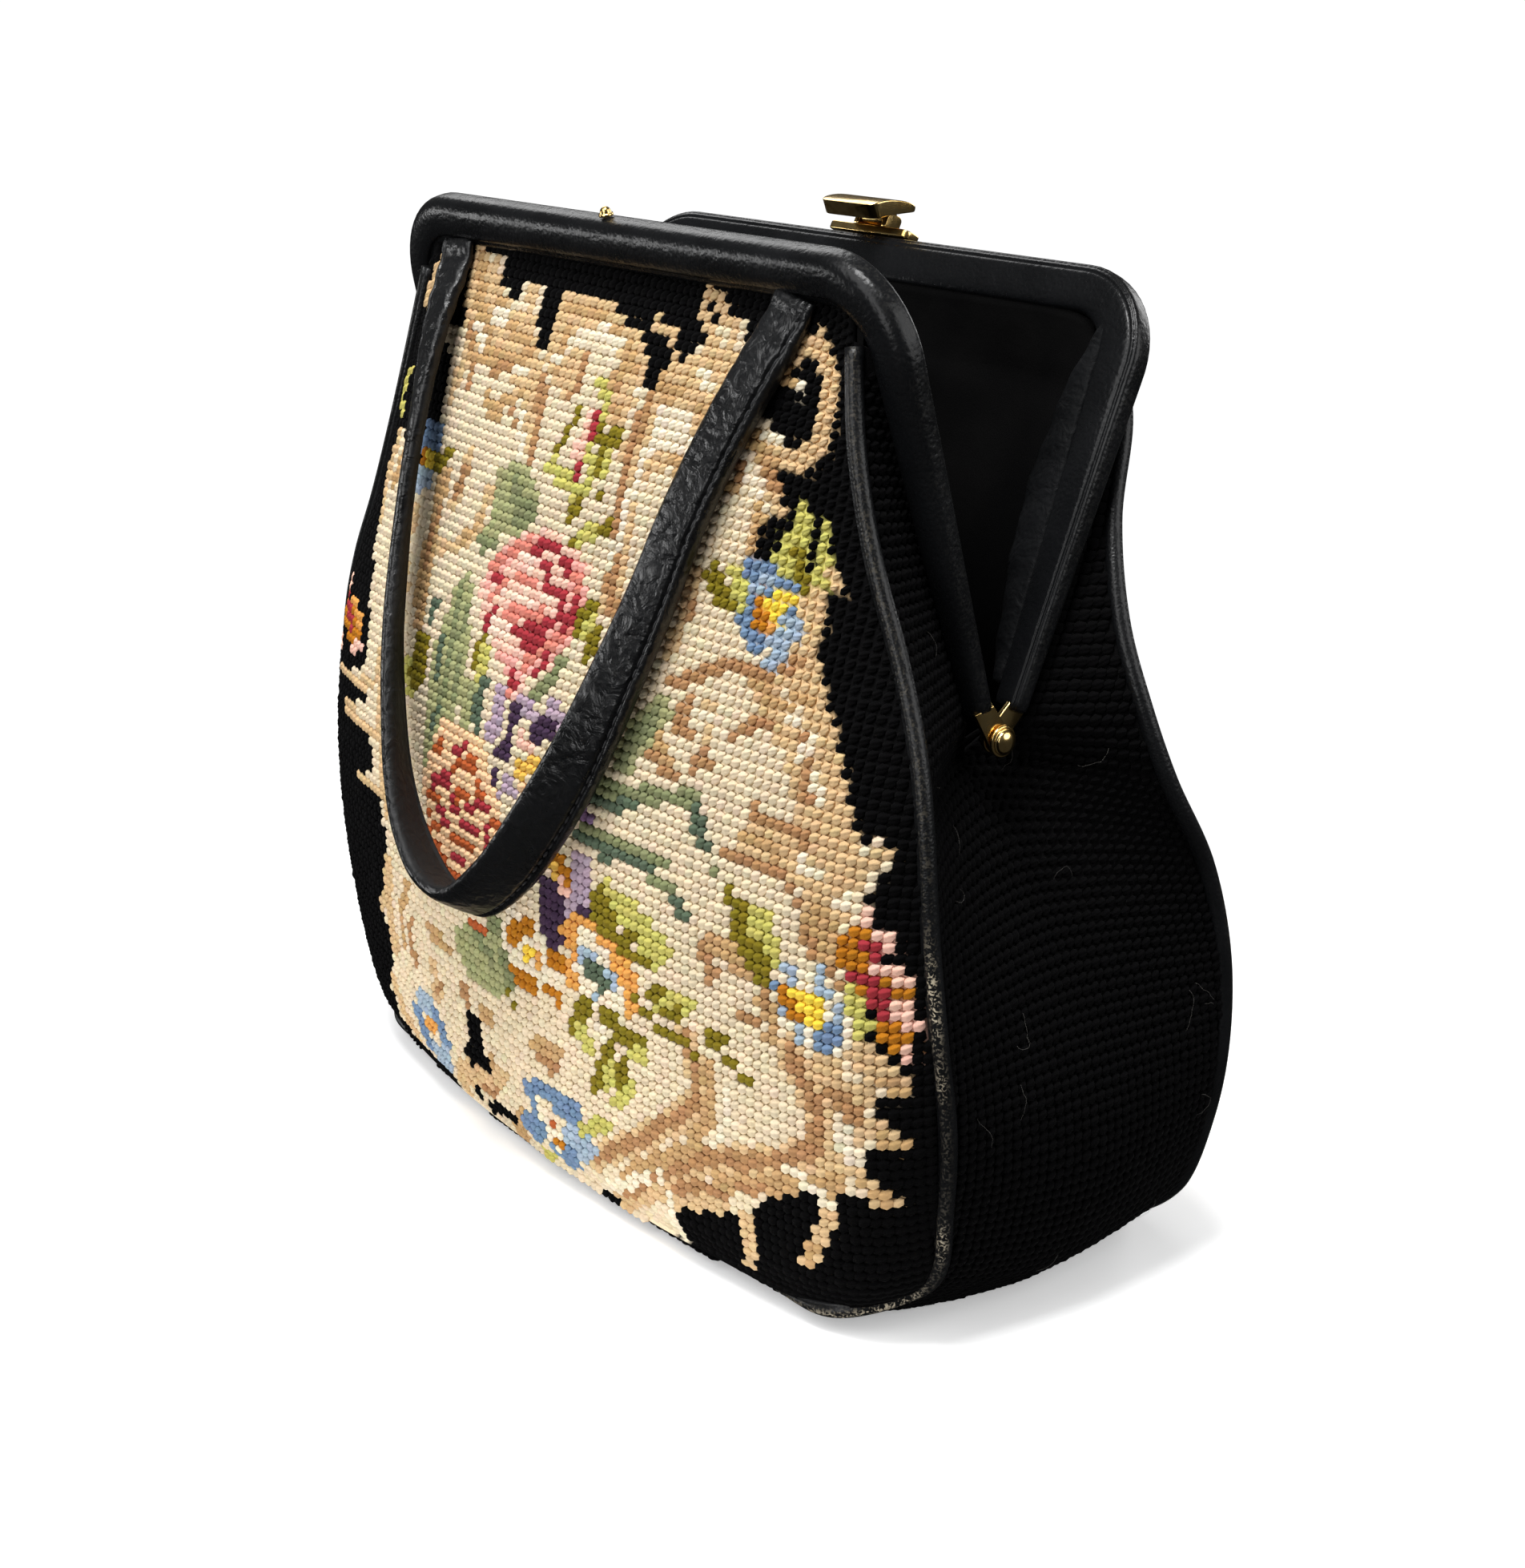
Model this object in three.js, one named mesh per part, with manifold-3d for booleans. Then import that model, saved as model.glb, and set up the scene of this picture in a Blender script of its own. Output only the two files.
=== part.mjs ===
// Needlepoint handbag on a leather-covered hinged frame, standing open on its soft base.
// Millimetres, +Z up, front panel towards -Y, origin on the ground below the middle of the box.
import * as THREE from 'three';
import { mergeVertices } from 'three/addons/utils/BufferGeometryUtils.js';
import Module from 'manifold-3d';

const wasm = await Module();
wasm.setup();

const { degToRad, lerp } = THREE.MathUtils;

// Hinge line of the frame: it runs along X, and both halves swing about it.
// Other depths are measured from this line, which is a little behind the middle of the box.
const HINGE_HEIGHT = 132.5;
const HINGE_DEPTH = 2;
const FRONT_HALF = { side: -1, tilt: degToRad(14.2) };
const BACK_HALF = { side: 1, tilt: degToRad(25.5) };

// Leather-covered rail of one frame half: two tapered arms and a straight bar, all in one plane.
const FRAME_HALF_WIDTH = 98.5;
const ARM_FLARE = 4.5;
const ARM_LENGTH = 110.6;
const CORNER_RADIUS = 24;
const RAIL_WIDTH = 11.5;
const RAIL_DEPTH = 8;
const ARM_END_WIDTH = 7.5;
const ARM_END_DEPTH = 5.6;
const ARM_END_HEIGHT = 9;
const MATING_GAP = 0.4;
const RAIL_SIDES = 12;
const CORNER_STEPS = 6;

// Walls: wool canvas panels and gusset, thin cloth lining, round leather piping in the seams.
const CANVAS_THICKNESS = 2.5;
const LINING_THICKNESS = 1;
const LINING_INSET = 2.9;
const SEAM_ALLOWANCE = 3.3;
const LINING_ALLOWANCE = 7.5;
const PIPING_RADIUS = 2.3;
const PIPING_SIDES = 6;
const LONGEST_INSET = 0.7;
const PANEL_SEAT = 3.9;
const PANEL_GAP = 1.2;

// Upper end of each seam, on the frame half: across, out from the mating plane, up from the hinge.
const SEAM_TOP = { across: 84.5, out: 8.2, up: 88 };

// The seam between panel and gusset from below the frame corner to the middle of the base.
// The bulge is how far the panel swells past its seams, and middle is the gusset's centre line,
// which would hang below the ground under the base and is flattened where it rests.
// The bag stands a little twisted, so the left front seam is set back from the right one.
const SEAM_COLUMNS = ['halfWidth', 'height', 'front', 'back', 'setback', 'bulge', 'middle', 'middleHeight'];
const SEAM_TABLE = [
  [89.5, 199, -33.5, 47, 0.5, 3.5],
  [97.5, 177, -34.8, 37, 1, 6.5],
  [108, 156, -35.3, 30.5, 2, 8],
  [116.5, 138, -37.0, 30.5, 3, 8.5],
  [121, 122, -38.2, 35.0, 3.5, 9, 92.5, 127],
  [124, 101, -38.4, 46.0, 4, 9, 107, 103],
  [126.4, 78, -36.8, 51.6, 5, 8.5, 120.5, 79],
  [127.2, 56, -33.7, 52.4, 6, 8, 128, 56],
  [124.6, 37, -31.1, 52.2, 7, 7, 128.5, 35],
  [120.5, 20, -28.6, 49.5, 8, 4.5, 122, 14.5],
  [112, 11, -28.4, 49.0, 9, 0, 111.5, 4],
  [101, 6, -41.0, 57.0, 8.5, 0, 100, -4],
  [60, 3.8, -46.5, 61.0, 4, 0, 60, -4],
  [0, 3.4, -48.5, 62.0, 0, 0, 0, -4],
];
const SEAM = SEAM_TABLE.map((row) => Object.fromEntries(row.map((value, i) => [SEAM_COLUMNS[i], value])));

// Stations of the table that end the open V, and that turn from the side into the bottom edge.
const HINGE_STATION = 5;
const CORNER_STATION = 11;
const LAST_STATION = SEAM.length;
const PANEL_ROWS = [0, 1, 2, 3, 4, 5, 6, 7, 8, 9, 10, 11];
const PANEL_COLUMNS = [11, 12, 12.5, 13, 13.5, 14];
const SEAM_STATIONS = [0, 1, 2, 3, 4, 5, 6, 7, 8, 9, 9.5, 10, 10.5, 11, 11.5, 12, 12.5, 13, 14];
const LINING_STATIONS = [2, 3, 4, 5, 6, 7, 8, 9, 10, 11, 12, 12.5, 13, 14];
const GUSSET_COLUMNS = 8;
const VALLEY_SHARPNESS = 1.5;
const BULGE_ROUNDNESS = 0.75;
const TOP_CORNER_SHARPNESS = 12;
const STRIP_SEAT = 0.8;
const STRIP_GAP = 3.2;

// Carrying strap: a flat folded leather strap whose roots are caught below the front bar.
// Across, height, twist out of the panel's plane in degrees, and slack in front of the panel.
const STRAP_WIDTH = 16.5;
const STRAP_THICKNESS = 4.4;
const STRAP_SIDES = 10;
const STRAP_STEPS = 38;
const STRAP_CLEARANCE = 0.5;
const STRAP_COLUMNS = ['across', 'height', 'twist', 'slack'];
const STRAP_TABLE = [
  [64, 222, 0, 0],
  [60.5, 211, 0, 0.3],
  [54.5, 196, 2, 0.6],
  [48.5, 178, 4, 1],
  [43, 159, 8, 1],
  [37, 140, 14, 1],
  [30, 120, 26, 1],
  [20, 102.5, 40, 1],
  [6.5, 86, 52, 1],
  [-11, 74.5, 60, 1],
  [-26, 75.5, 62, 1],
  [-38, 84.5, 56, 1],
  [-46, 97, 48, 1],
  [-52, 114, 42, 1],
  [-57.5, 131, 38, 1],
  [-62, 150.5, 36, 1],
  [-63.3, 170.5, 33, 1],
  [-63.3, 190.5, 26, 0.6],
  [-64.5, 208.5, 13, 0.3],
  [-66.5, 222, 0, 0],
];
const STRAP = STRAP_TABLE.map((row) => Object.fromEntries(row.map((value, i) => [STRAP_COLUMNS[i], value])));

// Gold hinge: one flat tab on the end of each arm, and a headed rivet through each pair of tabs.
const TAB_THICKNESS = 1.2;
const TAB_EYE_RADIUS = 3.3;
const RIVET_RADIUS = 1.6;
const RIVET_CLEARANCE = 0.3;
const FRONT_TAB_ACROSS = 101.5;
const BACK_TAB_ACROSS = 99.8;
const RIVET_HEAD_ACROSS = FRONT_TAB_ACROSS + TAB_THICKNESS + RIVET_CLEARANCE;
const RIVET_SEGMENTS = 16;

// Gold clasp on the back bar and its catch stud on the front bar, just left of the middle.
const CLASP_ACROSS = -5;
const CLASP_OUT = 4.2;
const CLASP_BASE_LENGTH = 30;
const CLASP_BASE_DEPTH = 5.4;
const CLASP_BASE_HEIGHT = 2;
const CLASP_SEAT_GAP = 0.4;
const PIVOT_HEIGHT = ARM_LENGTH + 5.2;
const EAR_INNER = 4.4;
const EAR_THICKNESS = 1.7;
const EAR_RISE = 1.4;
const PIN_RADIUS = 1;
const PIN_HALF_LENGTH = 4.1;
const STEM_HALF_WIDTH = 3.9;
const STEM_RADIUS = 2.4;
const LEVER_HALF_LENGTH = 11;
const LEVER_FRONT = -12.5;
const LEVER_REAR = 3.5;
const LEVER_UNDERSIDE = 3.6;
const LEVER_THICKNESS = 2.6;
const LEVER_BEVEL = 0.6;
const LEVER_CORNER = 2.5;
const LEVER_DROP = degToRad(12);
const STUD_RADIUS = 2.1;
const STUD_HEIGHT = 2.4;

const MATERIALS = {
  canvas: { color: 0x14120f, roughness: 0.95, metalness: 0 },
  needlepoint: { color: 0xc9b48a, roughness: 0.95, metalness: 0 },
  leather: { color: 0x17181a, roughness: 0.45, metalness: 0 },
  lining: { color: 0x0f0f10, roughness: 0.85, metalness: 0 },
  gold: { color: 0xd8b25a, roughness: 0.25, metalness: 1 },
};

const standing = new THREE.Group();
const bag = new THREE.Group();
bag.position.y = HINGE_DEPTH;
standing.add(bag);

function addMesh(parent, name, geometry, finish) {
  const mesh = new THREE.Mesh(geometry, new THREE.MeshStandardMaterial(MATERIALS[finish]));
  mesh.name = name;
  parent.add(mesh);
  return mesh;
}

// Closed triangle mesh with its faces pointing out.
function solid(points, index) {
  const volume = new THREE.Vector3();
  let sum = 0;
  for (let i = 0; i < index.length; i += 3) {
    volume.crossVectors(points[index[i]], points[index[i + 1]]);
    sum += volume.dot(points[index[i + 2]]);
  }
  const geometry = new THREE.BufferGeometry().setFromPoints(points);
  geometry.setIndex(sum < 0 ? index.toReversed() : index);
  geometry.computeVertexNormals();
  return geometry;
}

// Solid through a row of rings that all have the same number of points, capped at both ends.
function loft(rings) {
  const count = rings[0].length;
  const last = (rings.length - 1) * count;
  const index = [];
  for (let start = 0; start < last; start += count) {
    for (let side = 0; side < count; side++) {
      const a = start + side;
      const b = start + (side + 1) % count;
      index.push(a, b, b + count, a, b + count, a + count);
    }
  }
  for (let side = 1; side + 1 < count; side++) {
    index.push(0, side + 1, side, last, last + side, last + side + 1);
  }
  return solid(rings.flat(), index);
}

// Point given on a frame half: across, out from the mating plane, up along the arms from the hinge.
function onHalf(half, across, out, up) {
  const sine = Math.sin(half.tilt);
  const cosine = Math.cos(half.tilt);
  const depth = half.side * (up * sine + out * cosine);
  return new THREE.Vector3(across, depth, HINGE_HEIGHT + up * cosine - out * sine);
}

function halfGroup(half) {
  const group = new THREE.Group();
  group.position.z = HINGE_HEIGHT;
  group.rotation.x = -half.side * half.tilt;
  bag.add(group);
  return group;
}

// Size of the rail at a height above the hinge: it changes evenly along the arm up to the corner.
function alongArm(endSize, fullSize, up) {
  const share = (up - ARM_END_HEIGHT) / (ARM_LENGTH - CORNER_RADIUS - ARM_END_HEIGHT);
  return lerp(endSize, fullSize, THREE.MathUtils.clamp(share, 0, 1));
}

function railAt(up) {
  return {
    outer: FRAME_HALF_WIDTH + alongArm(ARM_FLARE, 0, up),
    width: alongArm(ARM_END_WIDTH, RAIL_WIDTH, up),
    depth: alongArm(ARM_END_DEPTH, RAIL_DEPTH, up),
  };
}

// Rounded rail section about a point of its centre line, flat on the mating side.
function railRing(half, centre, outward, width, depth) {
  const ring = [];
  for (let side = 0; side < RAIL_SIDES; side++) {
    const angle = ((side + 0.5) / RAIL_SIDES) * 2 * Math.PI;
    const cosine = Math.cos(angle);
    const sine = Math.sin(angle);
    const squareness = sine < 0 ? 0.3 : 0.7;
    const offset = 0.5 * width * Math.sign(cosine) * Math.abs(cosine) ** 0.7;
    const out = MATING_GAP + 0.5 * depth * (1 + Math.sign(sine) * Math.abs(sine) ** squareness);
    ring.push(new THREE.Vector3(
      centre.x + outward.x * offset,
      half.side * out,
      centre.y + outward.y * offset,
    ));
  }
  return ring;
}

function railGeometry(half) {
  const rightRings = [];
  const cornerHeight = ARM_LENGTH - CORNER_RADIUS;
  for (const up of [ARM_END_HEIGHT, lerp(ARM_END_HEIGHT, cornerHeight, 0.5)]) {
    const { outer, width, depth } = railAt(up);
    const centre = new THREE.Vector2(outer - 0.5 * width, up);
    rightRings.push({ centre, outward: new THREE.Vector2(1, 0), width, depth });
  }
  const middleRadius = CORNER_RADIUS - 0.5 * RAIL_WIDTH;
  const corner = new THREE.Vector2(FRAME_HALF_WIDTH - CORNER_RADIUS, cornerHeight);
  for (let step = 0; step <= CORNER_STEPS; step++) {
    const angle = (0.5 * Math.PI * step) / CORNER_STEPS;
    const outward = new THREE.Vector2(Math.cos(angle), Math.sin(angle));
    const centre = corner.clone().addScaledVector(outward, middleRadius);
    rightRings.push({ centre, outward, width: RAIL_WIDTH, depth: RAIL_DEPTH });
  }
  const leftRings = rightRings.toReversed().map((ring) => ({
    ...ring,
    centre: new THREE.Vector2(-ring.centre.x, ring.centre.y),
    outward: new THREE.Vector2(-ring.outward.x, ring.outward.y),
  }));
  const rings = [...rightRings, ...leftRings];
  return loft(rings.map((ring) => railRing(half, ring.centre, ring.outward, ring.width, ring.depth)));
}

// Smooth curves through the seam stations, from the frame corner to the middle of the base.
const RIGHT = 1;
const LEFT = -1;

function seamCurve(half, hand) {
  const points = [onHalf(half, hand * SEAM_TOP.across, SEAM_TOP.out, SEAM_TOP.up)];
  for (const row of SEAM) {
    const front = hand === LEFT ? row.front + row.setback : row.front;
    const depth = half === FRONT_HALF ? front : row.back;
    points.push(new THREE.Vector3(hand * row.halfWidth, depth, row.height));
  }
  return new THREE.CatmullRomCurve3(points, false, 'centripetal');
}

const SEAM_CURVES = new Map([FRONT_HALF, BACK_HALF].map((half) => [
  half,
  { [RIGHT]: seamCurve(half, RIGHT), [LEFT]: seamCurve(half, LEFT) },
]));
const GUSSET_MIDDLE = new THREE.CatmullRomCurve3(
  SEAM.slice(HINGE_STATION - 1).map((row) => new THREE.Vector3(row.middle, 0, row.middleHeight)),
  false,
  'centripetal',
);

function seamPoint(half, hand, station) {
  return SEAM_CURVES.get(half)[hand].getPoint(station / LAST_STATION);
}

function seamTangent(half, hand, station) {
  return SEAM_CURVES.get(half)[hand].getTangent(station / LAST_STATION);
}

// Column of the seam table at any station, nothing at the frame corner.
function seamValue(column, station) {
  const values = [0, ...SEAM.map((row) => row[column])];
  const below = Math.min(Math.floor(station), LAST_STATION - 1);
  return lerp(values[below], values[below + 1], station - below);
}

// Point on the way in from a seam that is clear of it by the allowance, which leaves room for piping.
function inset(seam, tangent, neighbour, allowance) {
  const inward = neighbour.clone().sub(seam);
  const clearance = new THREE.Vector3().crossVectors(inward, tangent).length();
  return seam.clone().addScaledVector(inward, Math.min(allowance / clearance, LONGEST_INSET));
}

// Sheet of a panel: a four-sided patch between both seams, the base seam and the bar, swollen out.
function panelSheet(half, allowance) {
  const sideStations = PANEL_ROWS.toReversed();
  const columns = [
    ...PANEL_COLUMNS.slice(0, -1).map((station) => ({ hand: LEFT, station })),
    ...PANEL_COLUMNS.toReversed().map((station) => ({ hand: RIGHT, station })),
  ];
  const lastRow = sideStations.length - 1;
  const lastColumn = columns.length - 1;
  const grid = sideStations.map((sideStation) => columns.map(({ hand, station }) => {
    const corner = seamPoint(half, hand, CORNER_STATION);
    const top = seamPoint(half, hand, 0);
    const side = seamPoint(half, hand, sideStation);
    const base = seamPoint(half, hand, station);
    const middleSetback = half === FRONT_HALF && hand === LEFT ? seamValue('setback', sideStation) : 0;
    const rise = (side.z - corner.z) / (top.z - corner.z);
    const share = base.x / corner.x;
    const barEdge = onHalf(half, share * top.x, PANEL_SEAT, ARM_LENGTH - RAIL_WIDTH - PANEL_GAP);
    const topEdge = new THREE.Vector3(share * top.x, top.y, top.z);
    topEdge.lerpVectors(barEdge, topEdge, share ** TOP_CORNER_SHARPNESS);
    const swell = half.side * seamValue('bulge', sideStation) * (1 - share * share) ** BULGE_ROUNDNESS;
    const cornerSetback = half === FRONT_HALF && hand === LEFT ? seamValue('setback', CORNER_STATION) : 0;
    const baseShift = base.y - corner.y + cornerSetback * (1 - share * share);
    return new THREE.Vector3(
      share * side.x,
      side.y - middleSetback * (1 - share * share) + (1 - rise) * baseShift + rise * (topEdge.y - top.y) + swell,
      side.z + (1 - rise) * (base.z - corner.z) + rise * (topEdge.z - top.z),
    );
  }));
  const points = grid.flatMap((row, r) => row.map((point, c) => {
    const inner = THREE.MathUtils.clamp(c, 1, lastColumn - 1);
    const upper = Math.max(r, 1);
    if (c === inner && r === upper) {
      return point;
    }
    const station = c === inner ? columns[c].station : sideStations[r];
    const tangent = seamTangent(half, columns[c].hand, station);
    return inset(point, tangent, grid[upper][inner], allowance);
  }));
  const index = [];
  const width = lastColumn + 1;
  for (let r = 0; r < lastRow; r++) {
    for (let c = 0; c < lastColumn; c++) {
      const a = r * width + c;
      const quad = [a, a + 1, a + 1 + width, a, a + 1 + width, a + width];
      index.push(...(half.side < 0 ? quad : quad.toReversed()));
    }
  }
  return { points, index };
}

// Inner edge of an arm's outer face, where the gusset meets it beside the open V.
function armEdge(half, hand, height) {
  const up = Math.max((height - HINGE_HEIGHT) / Math.cos(half.tilt), 0.5 * ARM_END_HEIGHT);
  const { outer, width, depth } = railAt(up);
  return onHalf(half, hand * (outer - width - STRIP_GAP), STRIP_SEAT * depth, up);
}

// Half of a gusset row, from a seam to the arm beside the open V or to the gusset's centre line.
function gussetStrip(half, hand, station, allowance) {
  const seam = seamPoint(half, hand, station);
  const tangent = seamTangent(half, hand, station);
  const shares = Array.from({ length: GUSSET_COLUMNS / 2 + 1 }, (_, column) => (2 * column) / GUSSET_COLUMNS);
  if (station < HINGE_STATION) {
    const end = armEdge(half, hand, seam.z);
    const start = inset(seam, tangent, end, allowance);
    return shares.map((share) => start.clone().lerp(end, share));
  }
  const middle = GUSSET_MIDDLE.getPoint((station - HINGE_STATION) / (LAST_STATION - HINGE_STATION));
  middle.x *= hand;
  middle.y = 0.5 * (seamPoint(FRONT_HALF, hand, station).y + seamPoint(BACK_HALF, hand, station).y);
  const strip = shares.map((share) => {
    const sag = 1 - (1 - share) ** VALLEY_SHARPNESS;
    return new THREE.Vector3(
      lerp(seam.x, middle.x, sag),
      lerp(seam.y, middle.y, share),
      Math.max(lerp(seam.z, middle.z, sag), 0.5 * CANVAS_THICKNESS),
    );
  });
  strip[0] = inset(seam, tangent, strip[1], allowance);
  return strip;
}

function gussetSheet(stations, allowance) {
  const rowOf = (hand) => (station) => ({
    front: gussetStrip(FRONT_HALF, hand, station, allowance),
    back: gussetStrip(BACK_HALF, hand, station, allowance).toReversed(),
    open: station < HINGE_STATION,
  });
  const right = stations.map(rowOf(RIGHT));
  const left = stations.slice(0, -1).toReversed().map(rowOf(LEFT));
  const points = [];
  const rows = [...right, ...left].map((row) => {
    const front = row.front.map((point) => points.push(point) - 1);
    const shared = row.open ? [] : [front.at(-1)];
    const back = row.back.slice(shared.length).map((point) => points.push(point) - 1);
    return { front, back: [...shared, ...back] };
  });
  const index = [];
  for (let r = 0; r + 1 < rows.length; r++) {
    for (const strip of ['front', 'back']) {
      const upper = rows[r][strip];
      const lower = rows[r + 1][strip];
      for (let c = 0; c + 1 < upper.length; c++) {
        index.push(upper[c], lower[c], lower[c + 1], upper[c], lower[c + 1], upper[c + 1]);
      }
    }
  }
  return { points, index };
}

// Wall of a given thickness about a sheet moved along its own normals.
function wall(sheet, thickness, shift) {
  const { points, index } = sheet;
  const surface = new THREE.BufferGeometry().setFromPoints(points);
  surface.setIndex(index);
  surface.computeVertexNormals();
  const normals = surface.getAttribute('normal');
  const moved = (distance) => points.map((point, i) => {
    const normal = new THREE.Vector3().fromBufferAttribute(normals, i);
    return point.clone().addScaledVector(normal, distance);
  });
  const count = points.length;
  const edges = new Set();
  for (let i = 0; i < index.length; i += 3) {
    for (let corner = 0; corner < 3; corner++) {
      edges.add(`${index[i + corner]} ${index[i + (corner + 1) % 3]}`);
    }
  }
  const faces = [...index, ...index.map((vertex) => vertex + count).toReversed()];
  for (const edge of edges) {
    const [a, b] = edge.split(' ').map(Number);
    if (!edges.has(`${b} ${a}`)) {
      faces.push(b, a, a + count, b, a + count, b + count);
    }
  }
  return solid([...moved(shift + 0.5 * thickness), ...moved(shift - 0.5 * thickness)], faces);
}

// Round piping along a whole seam, from one frame corner under the base to the other.
function pipingGeometry(half) {
  const places = [
    ...SEAM_STATIONS.map((station) => ({ hand: RIGHT, station })),
    ...SEAM_STATIONS.slice(0, -1).toReversed().map((station) => ({ hand: LEFT, station })),
  ];
  const depthAxis = new THREE.Vector3(0, 1, 0);
  return loft(places.map(({ hand, station }) => {
    const tangent = seamTangent(half, hand, station).multiplyScalar(hand);
    const across = new THREE.Vector3().crossVectors(tangent, depthAxis).normalize();
    const along = new THREE.Vector3().crossVectors(across, tangent).normalize();
    return Array.from({ length: PIPING_SIDES }, (_, side) => {
      const angle = (2 * Math.PI * side) / PIPING_SIDES;
      return seamPoint(half, hand, station)
        .addScaledVector(across, PIPING_RADIUS * Math.cos(angle))
        .addScaledVector(along, PIPING_RADIUS * Math.sin(angle));
    });
  }));
}

// Carrying strap, hung just in front of the panel that a ray from the front meets.
function strapGeometry(panel) {
  const route = STRAP.map(({ across, height, twist, slack }) => {
    const ray = new THREE.Raycaster(new THREE.Vector3(across, -300, height), new THREE.Vector3(0, 1, 0));
    const panelDepth = ray.intersectObject(panel)[0].point.y;
    const turn = degToRad(twist);
    const reach = 0.5 * (STRAP_WIDTH * Math.sin(turn) + STRAP_THICKNESS * Math.cos(turn));
    return { point: new THREE.Vector3(across, panelDepth - STRAP_CLEARANCE - slack - reach, height), turn };
  });
  const curve = new THREE.CatmullRomCurve3(route.map(({ point }) => point));
  const rings = [];
  for (let step = 0; step <= STRAP_STEPS; step++) {
    const share = step / STRAP_STEPS;
    const row = Math.min(Math.floor(share * (route.length - 1)), route.length - 2);
    const turn = lerp(route[row].turn, route[row + 1].turn, share * (route.length - 1) - row);
    const tangent = curve.getTangent(share);
    const inPlane = new THREE.Vector3().crossVectors(tangent, new THREE.Vector3(0, 1, 0)).normalize();
    const outward = new THREE.Vector3().crossVectors(tangent, inPlane).normalize();
    const breadth = inPlane.clone().multiplyScalar(Math.cos(turn)).addScaledVector(outward, -Math.sin(turn));
    const normal = new THREE.Vector3().crossVectors(tangent, breadth).normalize();
    rings.push(Array.from({ length: STRAP_SIDES }, (_, side) => {
      const angle = (2 * Math.PI * (side + 0.5)) / STRAP_SIDES;
      const edge = Math.sign(Math.cos(angle)) * Math.abs(Math.cos(angle)) ** 0.5;
      return curve.getPoint(share)
        .addScaledVector(breadth, 0.5 * STRAP_WIDTH * edge)
        .addScaledVector(normal, 0.5 * STRAP_THICKNESS * Math.sin(angle));
    }));
  }
  return loft(rings);
}

// Turn an extruded outline so that its drawing plane becomes depth and height, and it runs across.
function turnAcross(geometry) {
  const axes = [new THREE.Vector3(0, 1, 0), new THREE.Vector3(0, 0, 1), new THREE.Vector3(1, 0, 0)];
  return geometry.applyMatrix4(new THREE.Matrix4().makeBasis(...axes));
}

// Flat hinge tab: a blunt triangle below the end of an arm, with an eye for the rivet.
function tabGeometry(side) {
  const upper = ARM_END_HEIGHT - RIVET_CLEARANCE;
  const outline = new THREE.Shape();
  outline.moveTo(side * (ARM_END_DEPTH + MATING_GAP), upper);
  outline.lineTo(side * MATING_GAP, upper);
  outline.absarc(0, 0, TAB_EYE_RADIUS, side > 0 ? Math.PI : 0, side > 0 ? 2 * Math.PI : -Math.PI, side < 0);
  outline.closePath();
  const eye = new THREE.Path();
  eye.absarc(0, 0, RIVET_RADIUS + RIVET_CLEARANCE, 0, 2 * Math.PI, side > 0);
  outline.holes.push(eye);
  const settings = { depth: TAB_THICKNESS, bevelEnabled: false, curveSegments: 8 };
  return turnAcross(new THREE.ExtrudeGeometry(outline, settings));
}

// Rivet with a stepped washer and a domed head outside, and a low head inside.
function rivetGeometry() {
  const inside = BACK_TAB_ACROSS - RIVET_CLEARANCE - RIVET_HEAD_ACROSS;
  const profile = [
    [0, inside - 1], [2.6, inside - 1], [2.6, inside], [RIVET_RADIUS, inside], [RIVET_RADIUS, 0],
    [3.7, 0], [3.7, 0.9], [3.1, 1.1], [3.1, 1.6], [2.7, 1.7], [2.5, 2.5], [1.8, 3.2], [0.9, 3.6], [0, 3.7],
  ];
  return new THREE.LatheGeometry(profile.map(([radius, along]) => new THREE.Vector2(radius, along)), RIVET_SEGMENTS)
    .rotateZ(-0.5 * Math.PI);
}

// Clasp base: a long plate on the bar with two low ears that hold the pin.
function claspBaseGeometry() {
  const halfLength = 0.5 * CLASP_BASE_LENGTH;
  const foot = ARM_LENGTH + CLASP_SEAT_GAP - PIVOT_HEIGHT;
  const plateTop = foot + CLASP_BASE_HEIGHT;
  const earOuter = EAR_INNER + EAR_THICKNESS;
  const outline = new THREE.Shape();
  outline.moveTo(-halfLength, foot);
  outline.lineTo(halfLength, foot);
  outline.lineTo(halfLength - 0.5 * CLASP_BASE_HEIGHT, plateTop);
  for (const [across, height] of [
    [earOuter, plateTop], [earOuter, EAR_RISE], [EAR_INNER, EAR_RISE], [EAR_INNER, plateTop],
    [-EAR_INNER, plateTop], [-EAR_INNER, EAR_RISE], [-earOuter, EAR_RISE], [-earOuter, plateTop],
  ]) {
    outline.lineTo(across, height);
  }
  outline.lineTo(-halfLength + 0.5 * CLASP_BASE_HEIGHT, plateTop);
  outline.closePath();
  return new THREE.ExtrudeGeometry(outline, { depth: CLASP_BASE_DEPTH, bevelEnabled: false })
    .translate(0, 0, -0.5 * CLASP_BASE_DEPTH)
    .rotateX(0.5 * Math.PI);
}

function asManifold(geometry) {
  geometry.deleteAttribute('normal');
  geometry.deleteAttribute('uv');
  const merged = mergeVertices(geometry);
  return new wasm.Manifold(new wasm.Mesh({
    numProp: 3,
    vertProperties: new Float32Array(merged.getAttribute('position').array),
    triVerts: new Uint32Array(merged.getIndex().array),
  }));
}

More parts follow.
